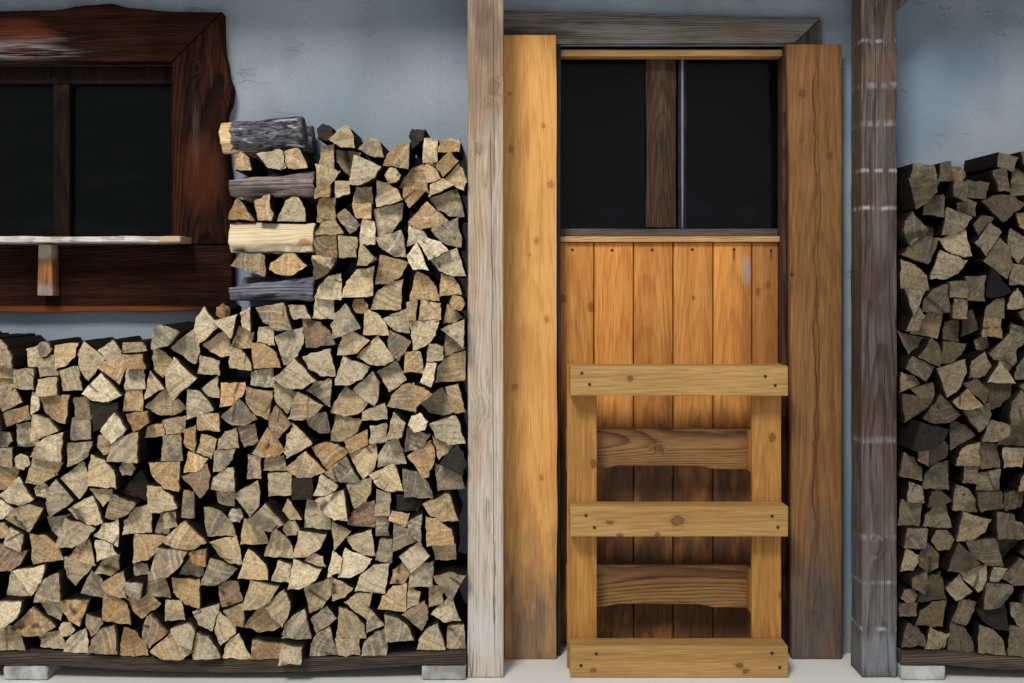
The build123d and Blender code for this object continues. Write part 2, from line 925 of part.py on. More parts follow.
cross_logs, end_logs = [], []
front_middle = log_front + crib_log_depth / 2
back_middle = front_middle + crib_log_spacing
level = crib_base + log_gap
for number, layer in enumerate(crib_layers):
    if layer[0] == "cross":
        top_layer = number == len(crib_layers) - 1
        tall = max(layer[1:]) - log_gap
        heights = [height - log_gap for height in layer[1:]]
        x = crib_left + 6, crib_right
        if top_layer:
            x = crib_left - crib_top_overhang, crib_right - 32
            turn = Pos(crib_right - 60, 0, level) * Rot(0, -crib_top_tilt, 0)
            turn = turn * Pos(60 - crib_right, 0, -level)
            cross_logs.append(turn * cross_log(x, front_middle, level, heights))
            cross_logs.append(turn * cross_log(x, back_middle, level, heights))
        else:
            cross_logs.append(cross_log(x, front_middle, level, heights))
            cross_logs.append(cross_log(x, back_middle, level, (tall, tall)))
        level += max(layer[1:])
    else:
        tall = layer[1] - log_gap
        for corners in layer[2]:
            outline = [(crib_left + a * crib_width, level + b * tall) for a, b in corners]
            end_logs.append(log_from(outline, rng))
        level += layer[1]
save("crib_cross_logs", cross_logs)
save("crib_end_logs", end_logs)
print("logs", len(low_logs) + len(tall_logs), len(right_logs), "crib from", round(crib_base), "to", round(level))
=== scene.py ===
import math
import random

import bmesh
import bpy
from mathutils import Matrix, Vector, noise


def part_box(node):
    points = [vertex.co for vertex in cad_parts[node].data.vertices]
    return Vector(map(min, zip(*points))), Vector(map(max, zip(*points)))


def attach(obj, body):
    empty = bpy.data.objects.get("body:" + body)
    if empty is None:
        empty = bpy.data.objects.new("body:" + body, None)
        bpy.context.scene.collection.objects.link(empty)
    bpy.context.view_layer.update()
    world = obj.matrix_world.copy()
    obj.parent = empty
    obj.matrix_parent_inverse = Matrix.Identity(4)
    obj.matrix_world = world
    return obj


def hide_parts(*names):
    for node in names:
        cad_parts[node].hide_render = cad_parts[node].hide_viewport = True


noise.seed_set(5)
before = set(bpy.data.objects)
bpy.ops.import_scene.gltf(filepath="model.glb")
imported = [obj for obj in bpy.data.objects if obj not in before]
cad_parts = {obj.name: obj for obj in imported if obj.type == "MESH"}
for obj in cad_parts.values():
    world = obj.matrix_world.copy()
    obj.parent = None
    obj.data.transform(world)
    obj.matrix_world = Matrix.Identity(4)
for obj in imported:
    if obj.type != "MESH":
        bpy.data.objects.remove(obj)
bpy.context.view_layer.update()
print("frame loaded")


# colours are written as they should render
def tone(red, green, blue):
    def linear(value):
        value /= 255
        return value / 12.92 if value <= 0.04045 else ((value + 0.055) / 1.055) ** 2.4

    return (linear(red), linear(green), linear(blue), 1.0)


tree = None  # the node tree that is being built


def addNode(kind, inputs=None, **settings):
    made = tree.nodes.new(kind)
    for key, value in settings.items():
        setattr(made, key, value)
    for key, value in (inputs or {}).items():
        if isinstance(value, bpy.types.NodeSocket):
            tree.links.new(value, made.inputs[key])
        else:
            made.inputs[key].default_value = value
    return made


def calc(operation, first, second=0.0):
    return addNode("ShaderNodeMath", {0: first, 1: second}, operation=operation).outputs[0]


def total(*values):
    result = values[0]
    for value in values[1:]:
        result = calc("ADD", result, value)
    return result


def times(first, second):
    return calc("MULTIPLY", first, second)


def less(first, second):
    return calc("SUBTRACT", first, second)


def vectorCalc(operation, first, second=(0, 0, 0), output=0):
    inputs = {0: first, "Scale": second} if operation == "SCALE" else {0: first, 1: second}
    return addNode("ShaderNodeVectorMath", inputs, operation=operation).outputs[output]


def parts(vector):
    return addNode("ShaderNodeSeparateXYZ", {0: vector}).outputs


def joined(x, y, z):
    return addNode("ShaderNodeCombineXYZ", {0: x, 1: y, 2: z}).outputs[0]


def mixTones(share, first, second):
    return addNode("ShaderNodeMix", {0: share, 6: first, 7: second}, data_type="RGBA").outputs[2]


def spread(value, low, high, toLow=0.0, toHigh=1.0):
    inputs = {0: value, 1: low, 2: high, 3: toLow, 4: toHigh}
    return addNode("ShaderNodeMapRange", inputs, interpolation_type="SMOOTHSTEP").outputs[0]


# lays a tone over the colour, more of it as a value goes from low to high
def layer(colour, over, value, low, high, toLow=0.0, toHigh=1.0):
    return mixTones(spread(value, low, high, toLow, toHigh), colour, over)


def ramp(value, stops):
    made = addNode("ShaderNodeValToRGB", {0: value})
    made.color_ramp.elements[0].position, made.color_ramp.elements[0].color = stops[0]
    made.color_ramp.elements[1].position, made.color_ramp.elements[1].color = stops[-1]
    for place, colour in stops[1:-1]:
        made.color_ramp.elements.new(place).color = colour
    return made.outputs[0]


def noiseAt(vector, scale, detail=4.0, roughness=0.55, distortion=0.0, output=0):
    inputs = {
        "Vector": vector, "Scale": scale, "Detail": detail, "Roughness": roughness, "Distortion": distortion,
    }
    return addNode("ShaderNodeTexNoise", inputs).outputs[output]


def stretched(vector, scale, shift=(0, 0, 0)):
    inputs = {"Vector": vector, "Location": shift, "Scale": scale}
    return addNode("ShaderNodeMapping", inputs).outputs[0]


def attribute(name, output="Vector"):
    return addNode("ShaderNodeAttribute", attribute_name=name).outputs[output]


def startMaterial(name):
    global tree
    material = bpy.data.materials.new(name)
    material.use_nodes = True
    tree = material.node_tree
    tree.nodes.clear()
    return material, addNode("ShaderNodeTexCoord").outputs["Object"]


def endMaterial(colour, roughness, height=None, depth=0.002, strength=0.7, shine=0.5):
    inputs = {"Base Color": colour, "Roughness": roughness, "Specular IOR Level": shine}
    if height is not None:
        bump = addNode("ShaderNodeBump", {"Height": height, "Distance": depth, "Strength": strength})
        inputs["Normal"] = bump.outputs[0]
    shader = addNode("ShaderNodeBsdfPrincipled", inputs)
    addNode("ShaderNodeOutputMaterial", {0: shader.outputs[0]})


# distance to the nearest of some knots, in knot radii; a knot is longer along the grain
def placedKnots(place, along, knots):
    squeeze = [1.0, 0.0, 1.0]
    squeeze["xyz".index(along)] = 0.7
    uneven = vectorCalc("SUBTRACT", noiseAt(place, 60.0, 1.0, 0.6, 0.0, 1), (0.5, 0.5, 0.5))
    place = vectorCalc("ADD", place, vectorCalc("SCALE", uneven, 0.014))
    flat = vectorCalc("MULTIPLY", place, tuple(squeeze))
    nearest = None
    for x, z, radius in knots:
        away = vectorCalc("DISTANCE", flat, (x * squeeze[0], 0, z * squeeze[2]), 1)
        distance = calc("DIVIDE", away, radius)
        nearest = distance if nearest is None else calc("MINIMUM", nearest, distance)
    return nearest


# usual values of a timber, in metres; each look below gives what differs
plainTimber = {
    # shape: rounded edges, spacing of the cuts, depth and size of the wear
    "edge": 0.003, "edgeSteps": 2, "step": 0.06, "slices": {}, "depth": 0.0025, "size": 0.04, "smooth": 40,
    # growth rings and grain
    "pith": (0.0, 0.10), "lean": (0.01, 0.03), "pithSpread": 0.02, "ringWidth": 0.006, "ringShare": 0.35,
    "stretch": 0.04, "sway": 0.03, "swayScale": 7.0, "fine": 240.0, "fineShare": 0.9, "streak": 30.0,
    "streakShare": 1.0, "blotch": 3.5, "blotchShare": 0.3, "varied": 0.06, "heart": None,
    # knots, placed as x, z and radius or scattered
    "knots": [], "knotSize": 0.0, "knotEvery": 0.12, "knotPull": 1.4, "knotShare": 0.85, "haloShare": 0.35,
    "knotColour": None, "rimColour": tone(60, 34, 20),
    # weathering, with some painted shade and light, and cracks
    "grey": None, "greyFrom": (0.0, 1.0), "greyShares": (0.85, 0.2), "stainsAndPaintedLight": [], "limeMarks": None,
    "splits": [], "crackScale": 24.0, "crackWidth": 0.012, "crackFrom": 0.52, "crackShare": 0.75,
    "crackColour": tone(40, 28, 22),
    # surface
    "roughness": 0.78, "shine": 0.2, "relief": 0.0010, "ringRelief": None,
}


# a patch of another tone, mostly a real stain and in a few places painted shade and painted light: squeeze is
# one over its reach each way
def tonePatch(at, squeeze, share, colour, ragged=1.2, streaky=False):
    return {
        "at": at, "squeeze": squeeze, "share": share, "colour": tone(*colour), "ragged": ragged,
        "streaky": streaky,
    }


# a long crack along the grain, at x = at where the piece starts
def split(at, sway, half, span, seed, slope=0.0):
    return {"at": at, "sway": sway, "half": half, "span": span, "seed": seed, "slope": slope}


# wood with its growth rings, knots, fibres, drying cracks and weathering
def woodMaterial(look):
    material, place = startMaterial(look["name"])
    along = "xyz".index(look["along"])
    others = [i for i in range(3) if i != along]
    own, fromMiddle = attribute("ownShift"), attribute("fromMiddle")
    spots = parts(place)
    moved = vectorCalc("ADD", place, vectorCalc("SCALE", own, 3.0))
    long = [1.0, 1.0, 1.0]
    long[along] = look["stretch"]
    across = stretched(moved, long)
    swayLong = [0.22 if i == along else 1.0 for i in range(3)]
    swayed = noiseAt(stretched(moved, swayLong), look["swayScale"], 1.0, 0.5, 0.0, 1)
    sway = vectorCalc("SCALE", vectorCalc("SUBTRACT", swayed, (0.5, 0.5, 0.5)), look["sway"])

    # knots, some listed and some scattered
    knot = 9.0
    if look["knotSize"]:
        every = [(0.55 if i == along else 1.0) / look["knotEvery"] for i in range(3)]
        cell = addNode("ShaderNodeTexVoronoi", {"Vector": stretched(moved, every), "Scale": 1.0})
        chance = parts(cell.outputs["Color"])
        knotSize = times(spread(chance[0], 0.2, 1.0, 0.35, 1.0), look["knotSize"])
        knot = calc("DIVIDE", cell.outputs["Distance"], knotSize)
    if look["knots"]:
        knot = calc("MINIMUM", knot, placedKnots(place, look["along"], look["knots"]))
    knotHalo = spread(knot, 0.7, 2.4, 1.0, 0.0)
    knotCore = spread(knot, 0.5, 1.05, 1.0, 0.0)
    knotRim = times(spread(knot, 0.6, 0.9), spread(knot, 0.95, 1.25, 1.0, 0.0))

    # rings around the middle of the tree, which lies beside the piece
    local, lengthwise = parts(vectorCalc("ADD", fromMiddle, sway)), parts(fromMiddle)[along]
    ownParts = parts(own)
    squares = []
    for index, axis in enumerate(others):
        ownPith = times(ownParts[index], look["pithSpread"])
        offset = total(ownPith, look["pith"][index], times(lengthwise, look["lean"][index]))
        distance = less(local[axis], offset)
        squares.append(times(distance, distance))
    reach = calc("SQRT", total(*squares))
    ringWidth = look["ringWidth"]
    reach = total(reach, times(knotHalo, ringWidth * look["knotPull"]))
    fine = noiseAt(across, look["fine"], 2.0, 0.65)
    ringPart = calc("FRACT", total(calc("DIVIDE", reach, ringWidth), times(fine, 0.35)))
    late = times(spread(ringPart, 0.35, 0.88), spread(ringPart, 0.9, 1.0, 1.0, 0.0))

    streak = noiseAt(across, look["streak"], 3.0, 0.6)
    blotch = noiseAt(moved, look["blotch"], 3.0, 0.6)
    grain = total(
        0.62, times(late, -look["ringShare"]), times(less(fine, 0.5), look["fineShare"]),
        times(less(streak, 0.5), look["streakShare"]),
    )
    colour = ramp(grain, [(0.1, look["dark"]), (0.5, look["middle"]), (0.9, look["pale"])])
    colour = layer(colour, look["dark"], blotch, 0.42, 0.7, 0.0, look["blotchShare"])
    varied = look["varied"]
    inputs = {"Value": spread(ownParts[2], -1.0, 1.0, 1.0 - varied, 1.0 + varied), "Color": colour}
    colour = addNode("ShaderNodeHueSaturation", inputs).outputs[0]

    # resin lines that part and meet along a board
    if look["heart"]:
        heart = look["heart"]
        line = joined(0.0, 0.0, spots[along])
        wander = noiseAt(line, heart["waves"], 5.0, 0.62)
        apart = noiseAt(vectorCalc("ADD", line, (4, 2, 7)), heart["apartWaves"], 4.0, 0.6)
        centre = total(heart["at"], times(less(wander, 0.5), heart["sway"]))
        offset = less(spots[0], centre)
        leftGap = spread(apart, 0.4, 0.66, 0.0, heart["apart"])
        rightGap = spread(wander, 0.38, 0.62, 0.0, heart["apart"] * 0.8)
        first = calc("ABSOLUTE", total(offset, leftGap))
        second = calc("ABSOLUTE", less(offset, rightGap))
        width = heart["line"]
        first = spread(first, width * 0.2, width, 1.0, 0.0)
        second = spread(second, width * 0.2, width * 0.8, 0.8, 0.0)
        inner = spread(calc("ABSOLUTE", offset), 0.0, heart["apart"], 0.3, 0.0)
        present = spread(noiseAt(across, 26.0, 4.0, 0.65), 0.36, 0.58, 0.25, 1.0)
        share = times(calc("MAXIMUM", calc("MAXIMUM", first, second), inner), present)
        colour = mixTones(times(share, heart["share"]), colour, heart["colour"])

    colour = mixTones(times(knotHalo, look["haloShare"]), colour, look["dark"])
    knotRings = spread(calc("SINE", times(knot, 14.0)), -1.0, 1.0, 0.0, 0.5)
    knotTone = mixTones(knotRings, look["knotColour"] or look["dark"], look["dark"])
    colour = mixTones(times(knotCore, look["knotShare"]), colour, knotTone)
    colour = mixTones(times(knotRim, look["knotShare"] * 0.7), colour, look["rimColour"])

    # weathering, with more of it where the look says so; low on the cladding and planks it is also painted
    # shade
    patchLong = [0.35 if i == along else 1.0 for i in range(3)]
    patch = noiseAt(stretched(moved, patchLong), 9.0, 3.0, 0.65)
    if look["grey"]:
        share = spread(spots[2], *look["greyFrom"], *look["greyShares"])
        share = total(share, spread(patch, 0.32, 0.66, -0.4, 0.4))
        share = calc("MINIMUM", calc("MAXIMUM", share, 0.0), 0.95)
        greyed = ramp(grain, [(0.15, look["greyDark"]), (0.75, look["grey"])])
        colour = mixTones(share, colour, greyed)
    # patches of another tone: stains, and on some looks painted shade and painted light
    for spot in look["stainsAndPaintedLight"]:
        away = vectorCalc("MULTIPLY", vectorCalc("SUBTRACT", place, spot["at"]), spot["squeeze"])
        away = vectorCalc("LENGTH", away, output=1)
        share = spread(total(away, times(less(streak, 0.5), spot["ragged"])), 0.4, 1.0, spot["share"], 0.0)
        if spot["streaky"]:
            share = times(share, spread(total(streak, times(fine, 0.5)), 0.62, 0.82))
        colour = mixTones(share, colour, spot["colour"])
    if look["limeMarks"]:
        marks = look["limeMarks"]
        stops = [(0.0, (0, 0, 0, 1))]
        for mark in sorted(marks["heights"]):
            for offset, value in ((-marks["half"], 0.0), (0.0, 1.0), (marks["half"], 0.0)):
                stops.append(((mark + offset) / 2.4, (value, value, value, 1)))
        stops.append((1.0, (0, 0, 0, 1)))
        wavy = total(spots[2], times(less(patch, 0.5), 0.016))
        bands = ramp(calc("DIVIDE", wavy, 2.4), stops)
        broken = spread(noiseAt(stretched(moved, (1, 1, 0.2)), 42.0, 3.0, 0.6), 0.42, 0.6)
        colour = mixTones(times(times(bands, broken), marks["share"]), colour, marks["colour"])

    # cracks run along the grain and come and go
    crackLong = [value * (0.6 if i == along else 1.0) for i, value in enumerate(long)]
    crackField = noiseAt(stretched(moved, crackLong, (3, 5, 1)), look["crackScale"], 1.0, 0.5)
    crackLine = calc("ABSOLUTE", less(crackField, 0.5))
    crackLine = spread(crackLine, 0.0, look["crackWidth"], 1.0, 0.0)
    crackFrom = look["crackFrom"]
    crack = times(crackLine, spread(patch, crackFrom, crackFrom + 0.1))
    for gap in look["splits"]:
        wander = noiseAt(joined(0.0, gap["seed"], spots[along]), 5.0, 5.0, 0.6)
        offset = total(times(less(wander, 0.5), gap["sway"]), times(spots[along], gap["slope"]), gap["at"])
        offset = calc("ABSOLUTE", less(spots[0], offset))
        line = spread(offset, gap["half"] * 0.35, gap["half"], 1.0, 0.0)
        low, high = gap["span"]
        ends = times(spread(spots[along], low, low + 0.15), spread(spots[along], high - 0.15, high, 1.0, 0.0))
        crack = calc("MAXIMUM", crack, times(line, ends))
    colour = mixTones(times(crack, look["crackShare"]), colour, look["crackColour"])
    height = total(fine, times(streak, 1.3))
    if look["ringRelief"]:
        height = total(height, times(late, look["ringRelief"]), times(crack, -3.0))
    endMaterial(colour, look["roughness"], height, look["relief"], 0.75, look["shine"])
    return material


finishes = {}


def finishOf(look):
    if look["name"] not in finishes:
        finishes[look["name"]] = woodMaterial({**plainTimber, **look})
    return finishes[look["name"]]


def cadCopy(nodeName):
    bm = bmesh.new()
    bm.from_mesh(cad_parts[nodeName].data)
    bmesh.ops.remove_doubles(bm, verts=bm.verts, dist=0.00002)
    bmesh.ops.dissolve_limit(bm, angle_limit=0.02, verts=bm.verts, edges=bm.edges)
    bm.normal_update()
    return bm


def islands(bm):
    seen, groups = set(), []
    for start in bm.verts:
        if start in seen:
            continue
        seen.add(start)
        group, waiting = [], [start]
        while waiting:
            v = waiting.pop()
            group.append(v)
            for e in v.link_edges:
                other = e.other_vert(v)
                if other not in seen:
                    seen.add(other)
                    waiting.append(other)
        groups.append(group)
    return groups


def boxOf(group):
    low = Vector([min(v.co[i] for v in group) for i in range(3)])
    high = Vector([max(v.co[i] for v in group) for i in range(3)])
    return low, high


def finishPiece(bm, name, nodes, materials, smooth=30):
    mesh = bpy.data.meshes.new(name)
    bm.normal_update()
    bm.to_mesh(mesh)
    bm.free()
    for material in materials:
        mesh.materials.append(material)
    piece = bpy.data.objects.new(name, mesh)
    bpy.context.scene.collection.objects.link(piece)
    mesh.polygons.foreach_set("use_smooth", [True] * len(mesh.polygons))
    mesh.set_sharp_from_angle(angle=math.radians(smooth))
    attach(piece, "root")
    if nodes:
        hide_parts(*nodes)
    return piece


def sharpEdges(bm, angle=0.5):
    return [e for e in bm.edges if len(e.link_faces) == 2 and e.calc_face_angle(0) > angle]


def sliceAlong(bm, axis, step):
    places = [v.co[axis] for v in bm.verts]
    low, high = min(places), max(places)
    normal = Vector([float(i == axis) for i in range(3)])
    count = max(1, round((high - low) / step))
    for i in range(1, count):
        spot = normal * (low + (high - low) * i / count)
        bmesh.ops.bisect_plane(bm, geom=bm.verts[:] + bm.edges[:] + bm.faces[:], plane_co=spot, plane_no=normal)


# wears a piece down by a few millimetres, more across the grain than along it
def wear(bm, axis, depth, size, seed):
    squeeze = Vector([size * (6.0 if i == axis else 1.0) for i in range(3)])
    bm.normal_update()
    moves = []
    for v in bm.verts:
        p = Vector([v.co[i] / squeeze[i] for i in range(3)]) + Vector((seed, seed * 1.7, seed * 0.3))
        value = 0.5 + 0.5 * noise.noise(p) + 0.25 * noise.noise(p * 2.7)
        moves.append(v.normal * -depth * max(0.0, min(1.2, value)))
    for v, move in zip(bm.verts, moves):
        v.co += move


# each board of a piece gets its own part of the wood pattern
def markPieces(bm, seed):
    chance = random.Random(seed)
    fromMiddle = bm.verts.layers.float_vector.new("fromMiddle")
    ownShift = bm.verts.layers.float_vector.new("ownShift")
    for group in islands(bm):
        low, high = boxOf(group)
        shift = Vector([chance.uniform(-1, 1) for _ in range(3)])
        for v in group:
            v[fromMiddle] = v.co - (low + high) / 2
            v[ownShift] = shift


def dressTimber(nodeName, look, seed=1, moves=(), material=None, **changes):
    shape = {**plainTimber, **look, **changes}
    bm = cadCopy(nodeName)
    axis = "xyz".index(shape["along"])
    bmesh.ops.bevel(
        bm, geom=sharpEdges(bm), offset=shape["edge"], segments=shape["edgeSteps"],
        affect="EDGES", profile=0.5, material=-1, clamp_overlap=True,
    )
    sliceAlong(bm, axis, shape["step"])
    for other, step in shape["slices"].items():
        sliceAlong(bm, "xyz".index(other), step)
    wear(bm, axis, shape["depth"], shape["size"], seed)
    for move in moves:
        move(bm)
    markPieces(bm, seed)
    return finishPiece(bm, nodeName + "Wood", [nodeName], [material or finishOf(look)], shape["smooth"])


def giveMaterial(nodeName, material):
    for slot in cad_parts[nodeName].material_slots:
        slot.material = material


# limewashed wall
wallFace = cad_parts["back_wall"].bound_box[0][1]
frameLow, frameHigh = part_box("window_frame_rails")
wallLook = {
    "wash": tone(160, 170, 178), "washBlue": tone(128, 147, 164), "smudge": tone(114, 122, 126),
    "bare": tone(140, 130, 116), "low": tone(150, 148, 142), "hair": tone(98, 104, 108),
    # niche is the tone of the painted shade in the recesses
    "niche": tone(46, 34, 28), "back": tone(158, 157, 152), "grit": 210.0, "trowel": 6.0, "relief": 0.004,
    "nicheBack": 0.40, "backFrom": 0.455,
    # middle and half width of the niches, the boarded doorway and the window's frame, where the wall is painted
    # with shade
    "shadeSpots": [
        {"x": (-0.25, 1.7), "z": (0.0, 2.3), "from": wallFace + 0.001},
        {"x": (0.84, 0.54), "z": (0.0, 2.08), "from": -1.0},
        {
            "x": ((frameLow[0] + frameHigh[0]) / 2, (frameHigh[0] - frameLow[0]) / 2 + 0.02),
            "z": ((frameLow[2] + frameHigh[2]) / 2, (frameHigh[2] - frameLow[2]) / 2 + 0.02), "from": -1.0,
        },
    ],
}


# 1 where a value is within half of a middle, and 0 beyond
def within(value, middle, half):
    return spread(calc("ABSOLUTE", less(value, middle)), half, half + 0.01, 1.0, 0.0)


def wallMaterial(look):
    material, place = startMaterial("limewash")
    broad = noiseAt(place, 1.3, 2.0, 0.6)
    trowel = noiseAt(stretched(place, (0.6, 1, 1.2)), look["trowel"], 3.0, 0.62)
    grit = noiseAt(place, look["grit"], 0.0)
    cloud = noiseAt(stretched(place, (1, 1, 1), (2, 5, 3)), 4.2, 2.0, 0.55)
    runs = noiseAt(stretched(place, (14, 14, 0.9)), 1.0, 1.0, 0.6)
    colour = mixTones(spread(broad, 0.34, 0.66), look["wash"], look["washBlue"])
    colour = layer(colour, look["smudge"], cloud, 0.5, 0.8, 0.0, 0.55)
    colour = layer(colour, look["smudge"], runs, 0.55, 0.8, 0.0, 0.22)
    chip = noiseAt(place, 16.0, 2.0, 0.65)
    chipped = times(spread(chip, 0.70, 0.73), spread(broad, 0.42, 0.6))
    colour = mixTones(chipped, colour, look["bare"])
    damp = total(spread(parts(place)[2], 0.0, 0.35, 0.7, 0.0), times(less(trowel, 0.5), 0.5))
    colour = mixTones(calc("MAXIMUM", damp, 0.0), colour, look["low"])
    # short hair cracks and scratches, mostly level
    hair = noiseAt(stretched(place, (0.45, 1, 2.2), (1, 8, 4)), 5.0, 3.0, 0.55)
    hairLine = spread(calc("ABSOLUTE", less(hair, 0.5)), 0.0, 0.006, 1.0, 0.0)
    hairLine = times(hairLine, spread(cloud, 0.50, 0.6))
    colour = mixTones(times(hairLine, 0.7), colour, look["hair"])
    colour = layer(colour, look["smudge"], grit, 0.55, 0.8, 0.0, 0.25)
    # painted shade where niches, doorway and window frame lie behind the front face
    x, y, z = parts(place)
    shades = []
    for spot in look["shadeSpots"]:
        near = times(within(x, *spot["x"]), within(z, *spot["z"]))
        shades.append(times(near, spread(y, spot["from"], spot["from"] + 0.002)))
    shade = calc("MAXIMUM", calc("MAXIMUM", *shades[:2]), shades[2])
    shade = times(shade, spread(y, look["nicheBack"], look["nicheBack"] + 0.01, 1.0, 0.0))
    colour = mixTones(shade, colour, look["niche"])
    colour = layer(colour, look["back"], y, look["backFrom"], look["backFrom"] + 0.01, 0.0, 0.72)
    relief = total(trowel, times(grit, 0.16))
    endMaterial(colour, 0.93, relief, look["relief"], 0.7, 0.3)
    return material


giveMaterial("back_wall", wallMaterial(wallLook))
print("wall done")

# posts, beam and braces
leftPost = {
    "name": "warmPost", "along": "z", "pale": tone(208, 186, 160), "middle": tone(178, 154, 128),
    "dark": tone(130, 104, 82), "grey": tone(212, 202, 188), "greyDark": tone(156, 144, 130),
    "greyFrom": (0.2, 1.9), "greyShares": (0.85, 0.05), "pith": (0.012, 0.02), "lean": (0.004, 0.004),
    "ringWidth": 0.005, "ringShare": 0.22, "streak": 36.0, "streakShare": 0.55, "crackFrom": 0.55,
    "crackWidth": 0.010, "relief": 0.0014, "ringRelief": -0.5, "knotColour": tone(140, 106, 82),
    "haloShare": 0.3, "knotShare": 0.55, "crackColour": tone(56, 42, 34),
    "knots": [
        (0.232, 1.922, 0.016), (0.215, 1.862, 0.006), (0.183, 1.721, 0.012), (0.207, 1.602, 0.005),
        (0.186, 0.881, 0.022), (0.168, 0.768, 0.014), (0.225, 0.452, 0.006),
    ],
    "splits": [
        split(0.236, 0.012, 0.0016, (0.05, 1.83), 1.0, -0.008),
        split(0.243, 0.010, 0.0011, (1.55, 2.3), 2.0, -0.006),
    ],
    "stainsAndPaintedLight": [
        tonePatch((0.22, -0.1, 2.10), (16, 0.5, 9), 0.55, (92, 70, 60)),
        tonePatch((0.19, -0.1, 2.17), (22, 0.5, 16), 0.45, (78, 60, 54)),
        # painted shade over the top of the post, under the eaves
        tonePatch((0.21, -0.1, 2.25), (3, 0.5, 1.6), 0.45, (116, 94, 76), 2.0),
        tonePatch((0.20, -0.1, 0.16), (14, 0.5, 8), 0.5, (204, 206, 206)),
    ],
    "edge": 0.006, "edgeSteps": 3, "step": 0.04, "slices": {"x": 0.02, "y": 0.024}, "depth": 0.004,
    "size": 0.03,
}
# grey-brown weathered wood, its tones set darker still as painted shade
rightPost = {
    "name": "darkPost", "along": "z", "pale": tone(106, 89, 77), "middle": tone(78, 64, 55),
    "dark": tone(47, 37, 32), "grey": tone(112, 112, 112), "greyDark": tone(60, 58, 58),
    "greyFrom": (0.05, 1.0), "greyShares": (0.9, 0.05), "pith": (0.004, 0.10), "lean": (0.004, 0.01),
    "ringShare": 0.28, "streak": 44.0, "streakShare": 0.8, "crackFrom": 0.48, "relief": 0.0018,
    "knotColour": tone(70, 52, 43), "knotShare": 0.6, "ringRelief": 1.0,
    "knots": [(1.478, 0.429, 0.015), (1.471, 0.078, 0.009), (1.452, 1.41, 0.006)], "haloShare": 0.25,
    "splits": [
        split(1.468, 0.012, 0.0013, (1.45, 2.35), 5.0, 0.002),
        split(1.500, 0.012, 0.0012, (0.1, 1.3), 7.0, 0.002),
    ],
    "limeMarks": {
        "heights": [0.159, 0.307, 0.455, 0.773, 1.528, 1.651, 1.804, 1.927, 2.074], "half": 0.007,
        "share": 0.85, "colour": tone(184, 186, 184),
    },
    "stainsAndPaintedLight": [
        tonePatch((1.485, -0.1, 0.08), (9, 0.5, 12), 0.5, (140, 146, 152), 2.0),
        tonePatch((1.49, -0.1, 1.98), (14, 0.5, 13), 0.35, (126, 94, 76)),
    ],
    "edge": 0.007, "edgeSteps": 3, "step": 0.04, "slices": {"x": 0.02, "y": 0.024}, "depth": 0.005,
    "size": 0.028,
}
# the far right post and the knee braces copy the right post's tones, painted shade included
endPost = {
    **rightPost, "name": "endPost", "knots": [], "splits": [], "stainsAndPaintedLight": [], "limeMarks": None,
    "greyShares": (0.85, 0.3), "knotSize": 0.05, "knotEvery": 0.25,
}
farPost = {
    **leftPost, "name": "farPost", "knots": [], "splits": [], "stainsAndPaintedLight": [], "knotSize": 0.06,
    "knotEvery": 0.25,
}
beam = {
    "name": "beamWood", "along": "x", "pale": tone(176, 152, 124), "middle": tone(138, 112, 88),
    "dark": tone(88, 68, 54), "grey": tone(156, 150, 142), "greyDark": tone(96, 88, 80),
    "greyFrom": (2.3, 2.6), "greyShares": (0.45, 0.6), "pith": (0.01, 0.02), "knotEvery": 0.25,
    "knotSize": 0.05, "crackFrom": 0.5, "relief": 0.0015, "edge": 0.005, "step": 0.07, "slices": {"z": 0.035},
    "depth": 0.004,
}
roof = {
    "name": "roofBoard", "along": "y", "pale": tone(158, 142, 124), "middle": tone(122, 106, 90),
    "dark": tone(78, 64, 54), "grey": tone(152, 148, 142), "greyDark": tone(92, 86, 80),
    "greyFrom": (2.2, 2.9), "greyShares": (0.5, 0.75), "pith": (0.0, 0.12), "ringWidth": 0.008,
    "knotEvery": 0.2, "knotSize": 0.06, "varied": 0.12, "crackFrom": 0.5, "step": 0.08, "depth": 0.003,
}
dressTimber("post_far_left", farPost, 3)
dressTimber("post_left", leftPost, 10)
dressTimber("post_right", rightPost, 17)
dressTimber("post_far_right", endPost, 24)
dressTimber("eaves_beam", beam, 11)
dressTimber("wall_plate", beam, 12, step=0.12)
dressTimber("knee_braces", endPost, 13, step=0.04, slices={})
dressTimber("rafters", roof, 14, step=0.06, edge=0.004)
dressTimber("roof_purlins", beam, 15, step=0.12, slices={})
dressTimber("roof_boards", roof, 16, slices={"x": 0.06})
dressTimber("roof_cover_strips", roof, 17)
print("structure done")

# window behind the left bay
# dark stained wood, its tones set darker still as painted shade
casing = {
    "name": "stainedShadedCasing", "along": "x", "pale": tone(70, 38, 26), "middle": tone(40, 22, 15),
    "dark": tone(20, 11, 8), "pith": (0.03, 0.16), "lean": (0.02, 0.05), "ringWidth": 0.008, "ringShare": 0.4,
    "blotchShare": 0.6, "blotch": 4.0, "streakShare": 1.3, "knotEvery": 0.3, "knotSize": 0.03,
    "crackFrom": 0.54, "crackShare": 0.8, "roughness": 0.8, "crackColour": tone(16, 9, 7), "relief": 0.0012,
    "shine": 0.04, "varied": 0.0,
    "stainsAndPaintedLight": [
        tonePatch((-1.46, 0, 2.085), (3.4, 0.2, 17), 0.8, (150, 143, 140), 3.6, True),
        tonePatch((-1.40, 0, 2.145), (7.5, 0.2, 15), 0.5, (116, 58, 40), 2.6),
        # painted highlight: an orange line along the bottom edge of the lower board
        tonePatch((-1.15, 0, 1.193), (1.6, 0.2, 60), 0.7, (140, 76, 42), 1.2),
    ],
    "edge": 0.005, "step": 0.03, "slices": {"z": 0.03}, "depth": 0.004, "size": 0.05, "smooth": 50,
}
